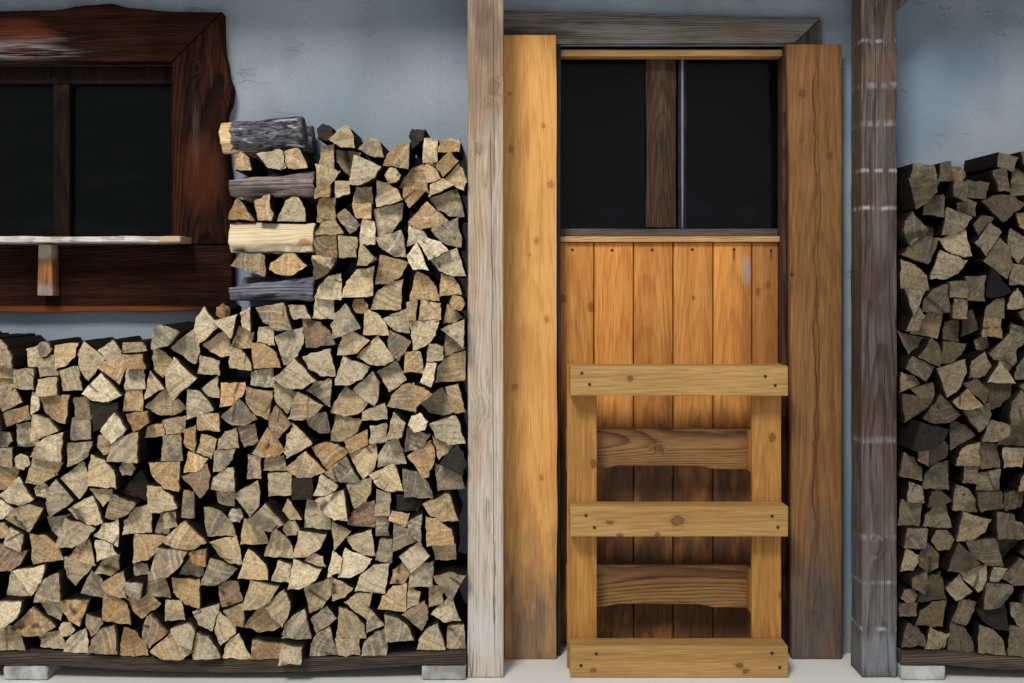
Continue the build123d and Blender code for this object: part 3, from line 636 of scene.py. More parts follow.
jamb = {
    **casing, "name": "stainedShadedJamb", "along": "z", "pith": (0.02, 0.14), "crackFrom": 0.5, "knotSize": 0.0,
    "knots": [(-0.786, 2.02, 0.014), (-0.80, 1.87, 0.009), (-0.79, 1.61, 0.012), (-0.66, 1.93, 0.018)],
    "stainsAndPaintedLight": [
        # a lighter reddish patch: partly redder wood, partly painted sunlight
        tonePatch((-0.77, 0, 1.66), (12, 0.2, 6), 0.35, (104, 56, 38), 1.2),
        tonePatch((-0.79, 0, 1.80), (60, 0.2, 6), 0.15, (134, 124, 116), 3.0, True),
    ],
    "slices": {"x": 0.03},
}
windowBar = {
    "name": "windowBar", "along": "z", "pale": tone(46, 32, 27), "middle": tone(28, 20, 17),
    "dark": tone(14, 10, 9), "ringShare": 0.3, "crackFrom": 0.6, "roughness": 0.7, "shine": 0.05,
    "edge": 0.004, "step": 0.05, "depth": 0.0015,
}
shelf = {
    "name": "limedShelf", "along": "x", "pale": tone(244, 240, 236), "middle": tone(220, 212, 204),
    "dark": tone(162, 148, 134), "pith": (0.05, 0.02), "crackFrom": 0.46, "relief": 0.0016,
    "stainsAndPaintedLight": [tonePatch((-0.83, -0.1, 1.43), (16, 0.5, 12), 0.8, (196, 160, 122))], "edge": 0.005, "step": 0.025,
    "slices": {"y": 0.03}, "depth": 0.005, "size": 0.035,
}
strut = {
    "name": "strutWood", "along": "z", "pale": tone(170, 122, 76), "middle": tone(136, 90, 52),
    "dark": tone(88, 56, 34), "pith": (0.0, 0.05), "crackFrom": 0.5,
    "stainsAndPaintedLight": [
        tonePatch((-1.28, 0, 1.40), (8, 0.2, 22), 0.7, (184, 176, 166), 2.4),
        tonePatch((-1.28, 0, 1.245), (8, 0.2, 20), 0.6, (160, 154, 148), 2.4),
    ],
    "edge": 0.004, "step": 0.02, "depth": 0.003,
}


# a board's edge that dips and rises a little along its length
def wavyEdge(axis, side, along, depth, waves, seed):
    def move(bm):
        places = [v.co[axis] for v in bm.verts]
        low, high = min(places), max(places)
        for v in bm.verts:
            near = (v.co[axis] - low) / (high - low) if side > 0 else (high - v.co[axis]) / (high - low)
            bend = 0.5 + 0.5 * noise.noise(Vector((v.co[along] * waves, seed, 0.3)))
            bend += 0.25 * noise.noise(Vector((v.co[along] * waves * 3.1, seed, 4.3)))
            v.co[axis] -= side * depth * max(0.0, bend) * near**2

    return move


dressTimber("window_casing_head", casing, 21)
dressTimber("window_casing_left", jamb, 22)
dressTimber("window_casing_right", jamb, 23)
dressTimber("window_casing_sill", casing, 24)
for nodeName in ("window_frame_rails", "window_frame_stiles", "window_mullion"):
    dressTimber(nodeName, windowBar, 25)
shelfEdges = [wavyEdge(2, 1, 0, 0.008, 9.0, 3.0), wavyEdge(1, -1, 0, 0.014, 6.0, 4.0)]
dressTimber("window_shelf", shelf, 26, shelfEdges)
dressTimber("window_shelf_strut", strut, 27)


def glassMaterial(look):
    material, place = startMaterial(look["name"])
    smear = noiseAt(stretched(place, (1, 1, 2.5)), 5.0, 5.0, 0.6)
    low = spread(parts(place)[2], *look["dustHeights"], look["dust"], 0.0)
    dusty = times(spread(smear, 0.42, 0.75), total(low, look["dust"] * 0.35))
    colour = mixTones(dusty, look["dark"], look["dusty"])
    roughness = spread(smear, 0.3, 0.8, 0.08, 0.24)
    endMaterial(colour, roughness, noiseAt(place, 3.0, 2.0), 0.002, 0.15, look["shine"])
    return material


windowPane = {
    "name": "windowPane", "dark": tone(5, 7, 7), "dusty": tone(36, 38, 38), "dust": 0.22,
    "dustHeights": (1.45, 1.75), "shine": 0.05,
}
bayPane = {
    "name": "bayPane", "dark": tone(5, 6, 8), "dusty": tone(34, 36, 40), "dust": 0.22,
    "dustHeights": (1.48, 1.65), "shine": 0.05,
}
giveMaterial("window_glass", glassMaterial(windowPane))
giveMaterial("bay_window_glass", glassMaterial(bayPane))
print("window done")

# old doorway
headBoard = {
    "name": "greyLintel", "along": "x", "pale": tone(140, 132, 120), "middle": tone(104, 97, 87),
    "dark": tone(62, 54, 47), "grey": tone(126, 126, 124), "greyDark": tone(74, 72, 70),
    "greyFrom": (2.0, 2.3), "greyShares": (0.55, 0.4), "pith": (0.02, 0.09), "lean": (0.01, 0.02),
    "ringWidth": 0.007, "streakShare": 1.3, "crackFrom": 0.46, "knotEvery": 0.3, "knotSize": 0.05,
    "relief": 0.0018, "blotchShare": 0.5,
    "stainsAndPaintedLight": [
        tonePatch((0.36, 0.1, 2.14), (5, 0.2, 20), 0.6, (56, 48, 43), 2.0),
        tonePatch((1.12, 0.1, 2.15), (5, 0.2, 24), 0.5, (122, 94, 72), 2.0),
    ],
    "edge": 0.004, "step": 0.035, "slices": {"z": 0.025}, "depth": 0.005,
}
oldSide = {
    **headBoard, "name": "oldSideCasing", "along": "z", "stainsAndPaintedLight": [], "greyFrom": (0.0, 2.0),
    "greyShares": (0.5, 0.4), "pale": tone(88, 78, 69), "middle": tone(60, 52, 46), "dark": tone(36, 30, 27),
    "grey": tone(78, 75, 72), "greyDark": tone(48, 45, 43), "slices": {}, "step": 0.06,
}
lining = {
    "name": "darkLining", "along": "z", "pale": tone(104, 72, 60), "middle": tone(70, 44, 37),
    "dark": tone(34, 22, 20), "crackFrom": 0.5, "edge": 0.002, "step": 0.1, "depth": 0.0015,
}
leftPlank = {
    "name": "sunnyPlank", "along": "z", "pale": tone(238, 186, 114), "middle": tone(220, 160, 86),
    # greyer and darker towards the bottom: partly weathering, partly painted shade
    "dark": tone(178, 114, 58), "grey": tone(134, 112, 90), "greyDark": tone(84, 66, 50),
    "greyFrom": (0.08, 0.7), "greyShares": (1.0, -0.4), "pith": (-0.004, 0.13), "lean": (0.004, 0.035),
    "ringWidth": 0.010, "ringShare": 0.14, "pithSpread": 0.0, "streakShare": 0.6, "blotchShare": 0.22,
    "knotColour": tone(186, 104, 54), "rimColour": tone(132, 68, 36), "knotShare": 0.75, "crackShare": 0.3,
    "crackFrom": 0.6, "roughness": 0.6, "relief": 0.0006, "varied": 0.0,
    "knots": [
        (0.284, 1.932, 0.004), (0.398, 1.821, 0.006), (0.287, 1.743, 0.007), (0.424, 1.621, 0.009),
        (0.375, 1.43, 0.006), (0.353, 1.38, 0.004), (0.41, 1.16, 0.007), (0.30, 0.93, 0.008),
        (0.39, 0.62, 0.006),
    ],
    "splits": [split(0.352, 0.02, 0.0009, (0.02, 0.5), 9.0)],
    "stainsAndPaintedLight": [
        tonePatch((0.345, 0, 1.78), (95, 0.2, 10), 0.55, (186, 112, 56), 0.6),
        tonePatch((0.345, 0, 1.40), (100, 0.2, 8), 0.45, (190, 116, 58), 0.6),
        tonePatch((0.443, 0, 1.30), (90, 0.2, 2.2), 0.8, (214, 178, 146), 0.7),
    ],
    "edge": 0.004, "step": 0.04, "slices": {"x": 0.02}, "depth": 0.002, "size": 0.05,
}
# darker copy of the left plank: partly darker wood, partly painted shade
rightPlank = {
    **leftPlank, "name": "heartPlank", "pale": tone(154, 113, 70), "middle": tone(126, 87, 50),
    "dark": tone(90, 58, 32), "grey": tone(100, 90, 80), "greyDark": tone(62, 55, 48),
    "greyFrom": (0.1, 0.75), "greyShares": (0.95, -0.4), "pith": (0.02, 0.10),
    "knotColour": tone(110, 56, 30), "rimColour": tone(84, 38, 22), "stainsAndPaintedLight": [],
    "knots": [
        (1.283, 1.932, 0.009), (1.374, 1.718, 0.007), (1.277, 1.771, 0.004), (1.332, 1.654, 0.004),
        (1.333, 0.135, 0.018),
    ],
    "heart": {
        "at": 1.330, "sway": 0.018, "waves": 2.2, "apart": 0.014, "apartWaves": 6.0, "line": 0.0055,
        "share": 0.95, "colour": tone(84, 38, 20),
    },
    "splits": [split(1.33, 0.02, 0.0011, (0.02, 0.6), 19.0)],
}
batten = {
    "name": "paleBatten", "along": "x", "pale": tone(206, 166, 112), "middle": tone(180, 138, 88),
    "dark": tone(134, 94, 56), "pith": (0.0, 0.05), "ringWidth": 0.004, "crackShare": 0.3, "edge": 0.002,
    "step": 0.05, "depth": 0.0012,
}
sillBoard = {
    **batten, "name": "sunnySill", "pale": tone(222, 184, 134), "middle": tone(198, 154, 106),
    "dark": tone(148, 106, 66),
}
innerSill = {
    "name": "innerSill", "along": "x", "pale": tone(120, 110, 100), "middle": tone(86, 78, 70),
    "dark": tone(50, 44, 40), "pith": (0.0, 0.05), "step": 0.08, "depth": 0.002,
}
mullion = {
    "name": "oldMullion", "along": "z", "pale": tone(94, 72, 54), "middle": tone(60, 45, 33),
    "dark": tone(32, 23, 18), "pith": (0.01, 0.06), "ringShare": 0.2, "streakShare": 1.3, "crackFrom": 0.42,
    "crackWidth": 0.02, "relief": 0.002, "edge": 0.006, "step": 0.03, "slices": {"x": 0.018}, "depth": 0.008,
    "size": 0.03,
}
# nearly black stile with a painted highlight: a thin pale blue line down its edge
paintedGlintStile = {
    "name": "paintedGlintStile", "along": "z", "pale": tone(46, 46, 50), "middle": tone(28, 28, 32),
    "dark": tone(14, 14, 17), "shine": 0.1, "pith": (0.0, 0.05), "crackFrom": 0.7, "roughness": 0.5,
    "streakShare": 0.4, "stainsAndPaintedLight": [tonePatch((0.892, 0.1, 1.85), (190, 0, 1.5), 0.75, (140, 150, 168), 0.8)],
    "step": 0.08, "depth": 0.001,
}
cladding = {
    "name": "oiledBoards", "along": "z", "pale": tone(230, 166, 86), "middle": tone(202, 132, 58),
    # darker brown towards the bottom, behind the rack: painted shade
    "dark": tone(156, 90, 34), "grey": tone(88, 58, 38), "greyDark": tone(50, 33, 23),
    "greyFrom": (0.35, 1.2), "greyShares": (1.0, -0.4), "pith": (0.0, 0.09), "lean": (0.01, 0.045),
    "pithSpread": 0.04, "ringWidth": 0.009, "ringShare": 0.16, "sway": 0.035, "streakShare": 0.7,
    "blotchShare": 0.28, "knotEvery": 0.2, "knotSize": 0.055, "knotColour": tone(134, 66, 28),
    "rimColour": tone(88, 40, 18), "crackShare": 0.25, "crackFrom": 0.6, "roughness": 0.45, "relief": 0.0005,
    "varied": 0.14, "shine": 0.25,
    "knots": [
        (0.469, 1.233, 0.010), (0.570, 1.201, 0.010), (1.157, 1.257, 0.009), (1.193, 1.278, 0.008),
        (0.928, 1.233, 0.005),
    ],
    "stainsAndPaintedLight": [
        tonePatch((1.117, 0.2, 1.335), (45, 0.2, 15), 0.5, (190, 190, 196), 1.2),
        # darker over the right-hand boards
        tonePatch((1.30, 0.2, 1.0), (3.6, 0.2, 0.6), 0.62, (112, 70, 38), 0.5),
        tonePatch((1.0725, 0.2, 1.385), (170, 0.2, 30), 0.7, (58, 34, 20), 0.8),
        tonePatch((1.204, 0.2, 1.385), (170, 0.2, 34), 0.6, (58, 34, 20), 0.8),
    ],
    "edge": 0.005, "edgeSteps": 3, "step": 0.1, "depth": 0.001,
}
rail = {**lining, "name": "hiddenRail", "along": "x"}
dressTimber("door_casing_head", headBoard, 31, [wavyEdge(2, 1, 0, 0.010, 2.2, 8.0)])
dressTimber("door_casing_sides", oldSide, 32)
dressTimber("door_linings", lining, 33)
dressTimber("side_plank_left", leftPlank, 34, [wavyEdge(0, 1, 2, 0.010, 2.2, 7.0)])
dressTimber("side_plank_right", rightPlank, 35, [wavyEdge(0, -1, 2, 0.009, 2.6, 9.0)])
dressTimber("head_batten", batten, 36)
dressTimber("bay_window_sill", sillBoard, 37)
dressTimber("bay_window_inner_sill", innerSill, 38)
dressTimber("bay_window_mullion", mullion, 39)
dressTimber("bay_window_stile", paintedGlintStile, 40)
dressTimber("cladding_boards", cladding, 41)
dressTimber("cladding_rails", rail, 42, step=0.2)
print("doorway done")

# shelf rack
rackBeam = {
    "name": "palletBeam", "along": "x", "pale": tone(194, 156, 98), "middle": tone(166, 129, 76),
    "dark": tone(122, 90, 50), "pith": (0.05, 0.07), "lean": (0.02, 0.03), "ringWidth": 0.009,
    "ringShare": 0.12, "streakShare": 0.7, "sway": 0.02, "knotColour": tone(128, 78, 38),
    "rimColour": tone(76, 42, 22), "knotShare": 0.95, "blotchShare": 0.2, "crackShare": 0.35,
    "crackFrom": 0.56, "roughness": 0.66, "relief": 0.0007, "varied": 0.03,
    "knots": [
        (0.676, 0.974, 0.007), (0.829, 0.510, 0.014), (0.610, 0.505, 0.007), (0.641, 0.465, 0.006),
        (0.763, 0.465, 0.006), (1.029, 0.041, 0.008), (1.051, 0.022, 0.007), (0.555, 0.025, 0.007),
    ],
    "edge": 0.005, "edgeSteps": 3, "step": 0.035, "slices": {"z": 0.025},
}
rackUpright = {
    **rackBeam, "name": "palletUpright", "along": "z", "pale": tone(194, 143, 76),
    "middle": tone(164, 116, 57), "dark": tone(118, 80, 40), "pith": (0.0, 0.08),
    "knots": [(0.562, 0.681, 0.009), (1.157, 0.770, 0.009), (1.187, 0.245, 0.007)], "edge": 0.003,
    "step": 0.05, "slices": {}, "depth": 0.002,
}
rackSlat = {
    **rackBeam, "name": "palletSlat", "pale": tone(172, 130, 82), "middle": tone(136, 100, 62),
    "dark": tone(78, 53, 32), "pith": (0.055, 0.02), "lean": (0.03, 0.012), "ringWidth": 0.0075,
    "ringShare": 0.4, "sway": 0.06, "fineShare": 0.8, "knots": [(0.79, 0.72, 0.010)], "edge": 0.003,
    "step": 0.05, "slices": {}, "depth": 0.002, "varied": 0.08,
}
dressTimber("rack_beams", rackBeam, 51)
dressTimber("rack_uprights", rackUpright, 52)
dressTimber("rack_slats", rackSlat, 53)
dressTimber("rack_blocks", rackUpright, 54)
dressTimber("rack_spacers", rackUpright, 55)

# nails in the rack and the boarding, each a small head in a dark ring
nailLook = {
    "head": 0.0032, "ring": 0.0062, "steel": tone(74, 68, 64), "stained": tone(72, 44, 24),
    "rack": [
        (0.518, 0.991), (0.543, 0.954), (1.114, 0.980), (1.146, 0.951), (0.531, 0.528), (0.559, 0.489),
        (1.136, 0.526), (1.155, 0.490), (0.565, 0.079), (0.515, 0.041), (1.136, 0.081), (1.161, 0.035),
    ],
    "boarding": [
        (0.504, 1.402), (0.644, 1.401), (0.785, 1.402), (0.926, 1.404), (1.073, 1.404), (1.204, 1.400),
    ],
}


def nailMaterial(name, colour, roughness, metal=0.0):
    material, place = startMaterial(name)
    worn = noiseAt(place, 300.0, 3.0, 0.6)
    shade = mixTones(spread(worn, 0.35, 0.7, 0.0, 0.5), colour, tone(40, 26, 18))
    shader = addNode(
        "ShaderNodeBsdfPrincipled", {"Base Color": shade, "Roughness": roughness, "Metallic": metal},
    )
    addNode("ShaderNodeOutputMaterial", {0: shader.outputs[0]})
    return material


nailFinishes = [
    nailMaterial("nailSteel", nailLook["steel"], 0.55, 0.6),
    nailMaterial("nailStain", nailLook["stained"], 0.9),
]


def addNails(name, places, front, look):
    bm = bmesh.new()
    upright = Matrix.Rotation(math.radians(90), 4, "X")
    for index, (x, z) in enumerate(places):
        turn = Matrix.Rotation(index * 1.3, 4, "Y")
        for radius, depth, sink, kind in ((look["ring"], 0.0016, 0.0, 1), (look["head"], 0.0026, 0.0008, 0)):
            made = bmesh.ops.create_cone(
                bm, cap_ends=True, segments=10, radius1=radius, radius2=radius * 0.86, depth=depth,
                matrix=Matrix.Translation((x, front - sink, z)) @ turn @ upright,
            )
            for face in {f for v in made["verts"] for f in v.link_faces}:
                face.material_index = kind
    piece = finishPiece(bm, name, [], nailFinishes, 30)
    return piece


addNails("rackNails", nailLook["rack"], -0.0945, nailLook)
addNails("boardingNails", nailLook["boarding"], 0.2085, nailLook)
print("rack done")

# log stacks
logLook = {
    "outlineWave": 0.0045, "raggedness": 0.0030, "endTilt": 0.15, "bulge": 0.010, "shrink": 0.0032,
    "corner": 0.008, "rim": 0.0045, "inner": 0.009, "endRelief": 0.005, "barkShare": 0.66, "warm": (0.0, 1.0),
    "dim": (0.0, 1.0), "shade": (0.0, 0.25), "black": 0.02, "pale": tone(246, 230, 196),
    "cream": tone(232, 208, 164), "tan": tone(208, 176, 128), "orange": tone(212, 164, 106),
    "pink": tone(190, 156, 128), "grey": tone(164, 160, 146), "greyDark": tone(98, 94, 86),
    # the rim tone darkens rims, saw marks and fibres and is also the painted shade tone; the deep tone is
    # painted shade in the gaps
    "heart": tone(158, 118, 76), "rimDarkAndShade": tone(58, 50, 41), "bark": tone(76, 68, 62),
    "barkDark": tone(34, 29, 27), "soot": tone(26, 26, 29), "gapShade": tone(20, 16, 13),
}
# painted shade: the right stack's ends darker and greyer
rightLogLook = {**logLook, "dim": (0.45, 1.0), "shade": (1.0, 1.6), "warm": (0.0, 0.82), "black": 0.06}


def logEndMaterial(look):
    material, place = startMaterial("logEnds")
    fromPith, sawWay = attribute("fromPith"), attribute("sawWay")
    warm, dim, shade = parts(attribute("logTone"))
    nearEdge, barkEdge, black = parts(attribute("logEdge"))
    flat = vectorCalc("MULTIPLY", fromPith, (1, 0, 1))
    reach = vectorCalc("LENGTH", flat, (0, 0, 0), 1)
    way = vectorCalc("NORMALIZE", flat)
    seedShift = joined(times(warm, 31.0), times(dim, 17.0), 0.0)
    wobble = noiseAt(place, 26.0, 1.0)
    ringPart = calc("FRACT", total(calc("DIVIDE", reach, 0.0034), times(wobble, 2.4)))
    late = times(spread(ringPart, 0.3, 0.85), spread(ringPart, 0.88, 1.0, 1.0, 0.0))
    bandPlace = joined(total(times(reach, 115.0), times(wobble, 1.6)), times(warm, 40.0), dim)
    bands = noiseAt(bandPlace, 1.0, 1.0)
    wayPlace = vectorCalc("ADD", vectorCalc("ADD", way, seedShift), vectorCalc("SCALE", flat, 5.0))
    radial = noiseAt(wayPlace, 9.0, 3.0, 0.68)
    crack = calc("ABSOLUTE", less(noiseAt(vectorCalc("ADD", way, seedShift), 1.1, 0.0), 0.5))
    crack = times(spread(crack, 0.0, 0.018, 1.0, 0.0), spread(reach, 0.01, 0.025))
    crack = times(crack, spread(wobble, 0.46, 0.56))
    patch = noiseAt(vectorCalc("ADD", place, seedShift), 20.0, 2.0, 0.65)
    blot = noiseAt(vectorCalc("SUBTRACT", place, seedShift), 34.0, 2.0, 0.6)
    fibre = noiseAt(place, 420.0, 0.0)
    coarse = noiseAt(place, 125.0, 3.0, 0.85)

    fresh = ramp(warm, [
        (0.0, look["tan"]), (0.25, look["cream"]), (0.55, look["pale"]), (0.72, look["cream"]),
        (0.84, look["orange"]), (0.92, look["tan"]), (1.0, look["pink"]),
    ])
    heart = times(spread(reach, 0.018, 0.07, 0.6, 0.0), spread(blot, 0.35, 0.6))
    colour = mixTones(heart, fresh, look["heart"])
    colour = layer(colour, look["orange"], blot, 0.58, 0.76, 0.0, 0.4)
    greyed = mixTones(spread(coarse, 0.35, 0.65), look["greyDark"], look["grey"])
    greyShare = total(
        spread(dim, 0.5, 1.0, 0.0, 0.85), spread(patch, 0.40, 0.66, -0.3, 0.4),
        times(nearEdge, 0.28),
    )
    greyShare = calc("MINIMUM", calc("MAXIMUM", greyShare, 0.0), 0.95)
    colour = mixTones(greyShare, colour, greyed)
    colour = mixTones(times(late, 0.2), colour, look["heart"])
    colour = layer(colour, look["heart"], bands, 0.5, 0.68, 0.0, 0.42)
    colour = layer(colour, look["pale"], bands, 0.32, 0.46, 0.4, 0.0)
    colour = layer(colour, look["greyDark"], radial, 0.53, 0.7, 0.0, 0.5)
    colour = layer(colour, look["pale"], radial, 0.3, 0.45, 0.45, 0.0)
    sawSpot = vectorCalc("DOT_PRODUCT", place, sawWay, 1)
    saw = calc("SINE", total(times(sawSpot, 900.0), times(wobble, 9.0)))
    saw = spread(saw, -1.0, 1.0)
    colour = mixTones(times(saw, 0.10), colour, look["rimDarkAndShade"])
    colour = layer(colour, look["rimDarkAndShade"], fibre, 0.56, 0.72, 0.0, 0.35)
    colour = layer(colour, look["heart"], coarse, 0.56, 0.74, 0.0, 0.45)
    colour = layer(colour, look["pale"], coarse, 0.28, 0.42, 0.4, 0.0)
    colour = mixTones(times(crack, 0.8), colour, look["barkDark"])
    ragged = total(barkEdge, times(less(coarse, 0.5), 0.5))
    colour = layer(colour, look["bark"], ragged, 0.4, 0.75, 0.0, 0.9)
    # darker towards the outline, in patches
    towardOutline = times(spread(nearEdge, 0.4, 1.0), spread(patch, 0.32, 0.58, 0.35, 0.95))
    colour = mixTones(towardOutline, colour, look["rimDarkAndShade"])
    # painted shade: each end darkened by its shade share, more towards the outline
    shaded = calc("MINIMUM", times(shade, spread(nearEdge, 0.0, 1.0, 0.55, 0.95)), 0.95)
    colour = mixTones(shaded, colour, look["rimDarkAndShade"])
    colour = mixTones(times(black, 0.94), colour, look["soot"])
    worn = spread(calc("FRACT", times(warm, 7.3)), 0.0, 1.0, 0.78, 1.2)
    worn = times(worn, spread(coarse, 0.34, 0.66, 1.12, 0.82))
    colour = addNode("ShaderNodeHueSaturation", {"Value": worn, "Color": colour}).outputs[0]
    height = total(times(coarse, -1.0), times(radial, 2.0))
    endMaterial(colour, 0.9, height, 0.004, 1.0, 0.1)
    return material


def logSideMaterial(look):
    material, place = startMaterial("splitSides")
    warm, dim, shade = parts(attribute("logTone"))
    fibres = noiseAt(stretched(place, (1, 0.05, 1)), 170.0, 2.0, 0.65)
    broad = noiseAt(stretched(place, (1, 0.15, 1)), 30.0, 2.0, 0.6)
    colour = ramp(fibres, [(0.25, look["heart"]), (0.48, look["tan"]), (0.78, look["cream"])])
    colour = layer(colour, look["greyDark"], broad, 0.4, 0.68, 0.0, 0.6)
    colour = layer(colour, look["greyDark"], dim, 0.3, 1.0, 0.05, 0.75)
    # painted shade on the split sides, more on shaded logs
    colour = mixTones(total(times(shade, 0.5), 0.3), colour, look["rimDarkAndShade"])
    # painted shade deeper into the gaps between the logs
    colour = layer(colour, look["gapShade"], attribute("depthIn", "Fac"), 0.0, 0.022, 0.35, 0.98)
    endMaterial(colour, 0.85, fibres, 0.003, 0.8, 0.1)
    return material


def barkMaterial(look):
    material, place = startMaterial("bark")
    lengthwise = stretched(place, (1, 0.3, 1))
    cell = addNode("ShaderNodeTexVoronoi", {"Vector": lengthwise, "Scale": 90.0}, feature="DISTANCE_TO_EDGE")
    plates = spread(cell.outputs[0], 0.0, 0.14)
    rough = noiseAt(place, 70.0, 3.0, 0.7)
    colour = ramp(rough, [(0.3, look["barkDark"]), (0.58, look["bark"]), (0.82, look["grey"])])
    colour = mixTones(plates, look["barkDark"], colour)
    # painted shade deeper into the gaps between the logs
    colour = layer(colour, look["gapShade"], attribute("depthIn", "Fac"), 0.0, 0.03, 0.1, 0.98)
    endMaterial(colour, 0.92, rough, 0.004, 0.9, 0.1)
    return material


logMaterials = [logEndMaterial(logLook), logSideMaterial(logLook), barkMaterial(logLook)]


# where the tree's middle was, and which sides still carry bark; side i starts at corner i
def readOutline(ring, chance):
    count = len(ring)
    middle = sum(ring, Vector()) / count
    lengths = [(ring[i] - ring[(i + 1) % count]).length for i in range(count)]
    if count >= 6:
        return middle, set(range(count))
    apex = min(range(count), key=lambda i: abs(lengths[i - 1] - lengths[i]) / lengths[i])
    barked = [i for i in range(count) if i not in (apex, (apex - 1) % count)]
    even = abs(lengths[apex - 1] - lengths[apex]) < 0.03 * lengths[apex]
    if even and (count == 3 or min(lengths[apex - 1], lengths[apex]) > max(lengths[i] for i in barked)):
        return ring[apex], set(barked)
    if count == 3:
        shortest = min(range(3), key=lambda i: lengths[i])
        return ring[(shortest + 2) % 3], {shortest}
    longest = max(range(count), key=lambda i: lengths[i])
    if count == 4 and lengths[longest] > 1.5 * sorted(lengths)[-2]:
        return (ring[longest] + ring[(longest + 1) % count]) / 2, set(range(count)) - {longest}
    if count == 5:
        inner = min(range(count), key=lambda i: abs(lengths[(i + 2) % 5] - lengths[(i + 3) % 5]))
        spot = (ring[inner] + ring[(inner + 1) % 5]) / 2
        return spot + (spot - middle) * 0.8, {(inner + 2) % 5, (inner + 3) % 5}
    side = chance.randrange(count)
    outer = (ring[side] + ring[(side + 1) % count]) / 2
    return middle + (middle - outer) * 1.6, {side} if chance.random() < 0.6 else set()


def dressLogs(nodeName, seed, look):
    chance = random.Random(seed)
    bm = cadCopy(nodeName)
    reachLayer = bm.verts.layers.float.new("reach")
    facts, caps, cutEdges = [], [], []
    for group in islands(bm):
        faces = {f for v in group for f in v.link_faces}
        cap = min(faces, key=lambda f: f.normal.y)
        back = max(faces, key=lambda f: f.normal.y)
        ring = [v.co.copy() for v in cap.verts]
        pith, barkSides = readOutline(ring, chance)
        barky = chance.random() < look["barkShare"]
        for index, loop in enumerate(list(cap.loops)):
            side = next(f for f in loop.edge.link_faces if f is not cap)
            side.material_index = 2 if index in barkSides and barky else 1
        for v in group:
            v[reachLayer] = Vector((v.co.x - pith.x, v.co.z - pith.z)).length
        caps.append(cap)
        cutEdges += list(cap.edges) + list(back.edges)
        facts.append({
            "pith": pith, "middle": sum(ring, Vector()) / len(ring), "front": ring[0].y,
            "tone": [chance.uniform(*look[key]) for key in ("warm", "dim", "shade")],
            "tilt": Vector((chance.uniform(-1, 1), 0, chance.uniform(-1, 1))) * look["endTilt"],
            "turn": chance.uniform(0, math.pi), "black": float(chance.random() < look["black"]),
        })
    corners = {v for cap in caps for v in cap.verts}
    bmesh.ops.subdivide_edges(bm, edges=cutEdges, cuts=5, use_grid_fill=False)
    bm.normal_update()
    outline, firstRing = {v for cap in caps for v in cap.verts}, set()
    for group, fact in zip(islands(bm), facts):
        for v in group:
            sides = {f.material_index for f in v.link_faces if abs(f.normal.y) < 0.5}
            arm = Vector((v.co.x - fact["pith"].x, 0, v.co.z - fact["pith"].z))
            if sides == {2} and arm.length > 0.005:
                v.co += arm.normalized() * min(look["bulge"], max(0.0, v[reachLayer] - arm.length))
            spot = Vector((v.co.x, seed * 0.011, v.co.z))
            push = noise.noise_vector(spot * 40) * look["outlineWave"]
            push += noise.noise_vector(spot * 130) * look["raggedness"]
            v.co += Vector((push.x, 0, push.z))
            if v in outline:
                inward = Vector((fact["middle"].x - v.co.x, 0, fact["middle"].z - v.co.z))
                rounding = look["corner"] * chance.random() ** 2 if v in corners else 0.0
                v.co += inward.normalized() * min(look["shrink"] + rounding, inward.length * 0.3)

    # two rings inside each end, then a middle point
    for width in (look["rim"], look["inner"]):
        bmesh.ops.inset_individual(bm, faces=caps, thickness=0.0001, depth=0.0)
        for cap, fact in zip(caps, facts):
            for v in cap.verts:
                inward = fact["middle"] - v.co
                v.co += inward.normalized() * min(width, inward.length * 0.35)
        firstRing = firstRing or {v for cap in caps for v in cap.verts}
    bmesh.ops.poke(bm, faces=caps, center_mode="MEAN")
    layers = bm.verts.layers
    fromPith, logTone = layers.float_vector.new("fromPith"), layers.float_vector.new("logTone")
    logEdge, sawWay = layers.float_vector.new("logEdge"), layers.float_vector.new("sawWay")
    depthIn = layers.float.new("depthIn")
    for group, fact in zip(islands(bm), facts):
        for v in group:
            isOutline = v in outline
            barked = isOutline and any(f.material_index == 2 for f in v.link_faces)
            v[fromPith] = v.co - fact["pith"]
            v[logTone] = fact["tone"]
            v[logEdge] = (1.0 if isOutline else 0.62 if v in firstRing else 0.0, float(barked), fact["black"])
            v[sawWay] = (math.cos(fact["turn"]), 0, math.sin(fact["turn"]))
            v[depthIn] = max(0.0, v.co.y - fact["front"])
            if v.co.y < fact["front"] + 0.01:
                bump = noise.noise(Vector((v.co.x * 60, seed * 0.7, v.co.z * 60)))
                v.co.y += (v.co - fact["middle"]).dot(fact["tilt"]) + bump * look["endRelief"]
                if isOutline:
                    v.co.y += 0.0016 + 0.002 * max(0.0, bump)
    return finishPiece(bm, nodeName + "Logs", [nodeName], logMaterials, 38)


for index in range(1, 7):
    dressLogs(f"left_stack_{index}", 100 + index, logLook)
for index in range(1, 4):
    dressLogs(f"right_stack_{index}", 200 + index, rightLogLook)
dressLogs("crib_end_logs", 301, {**logLook, "dim": (0.0, 0.6), "black": 0.0})
print("logs done")

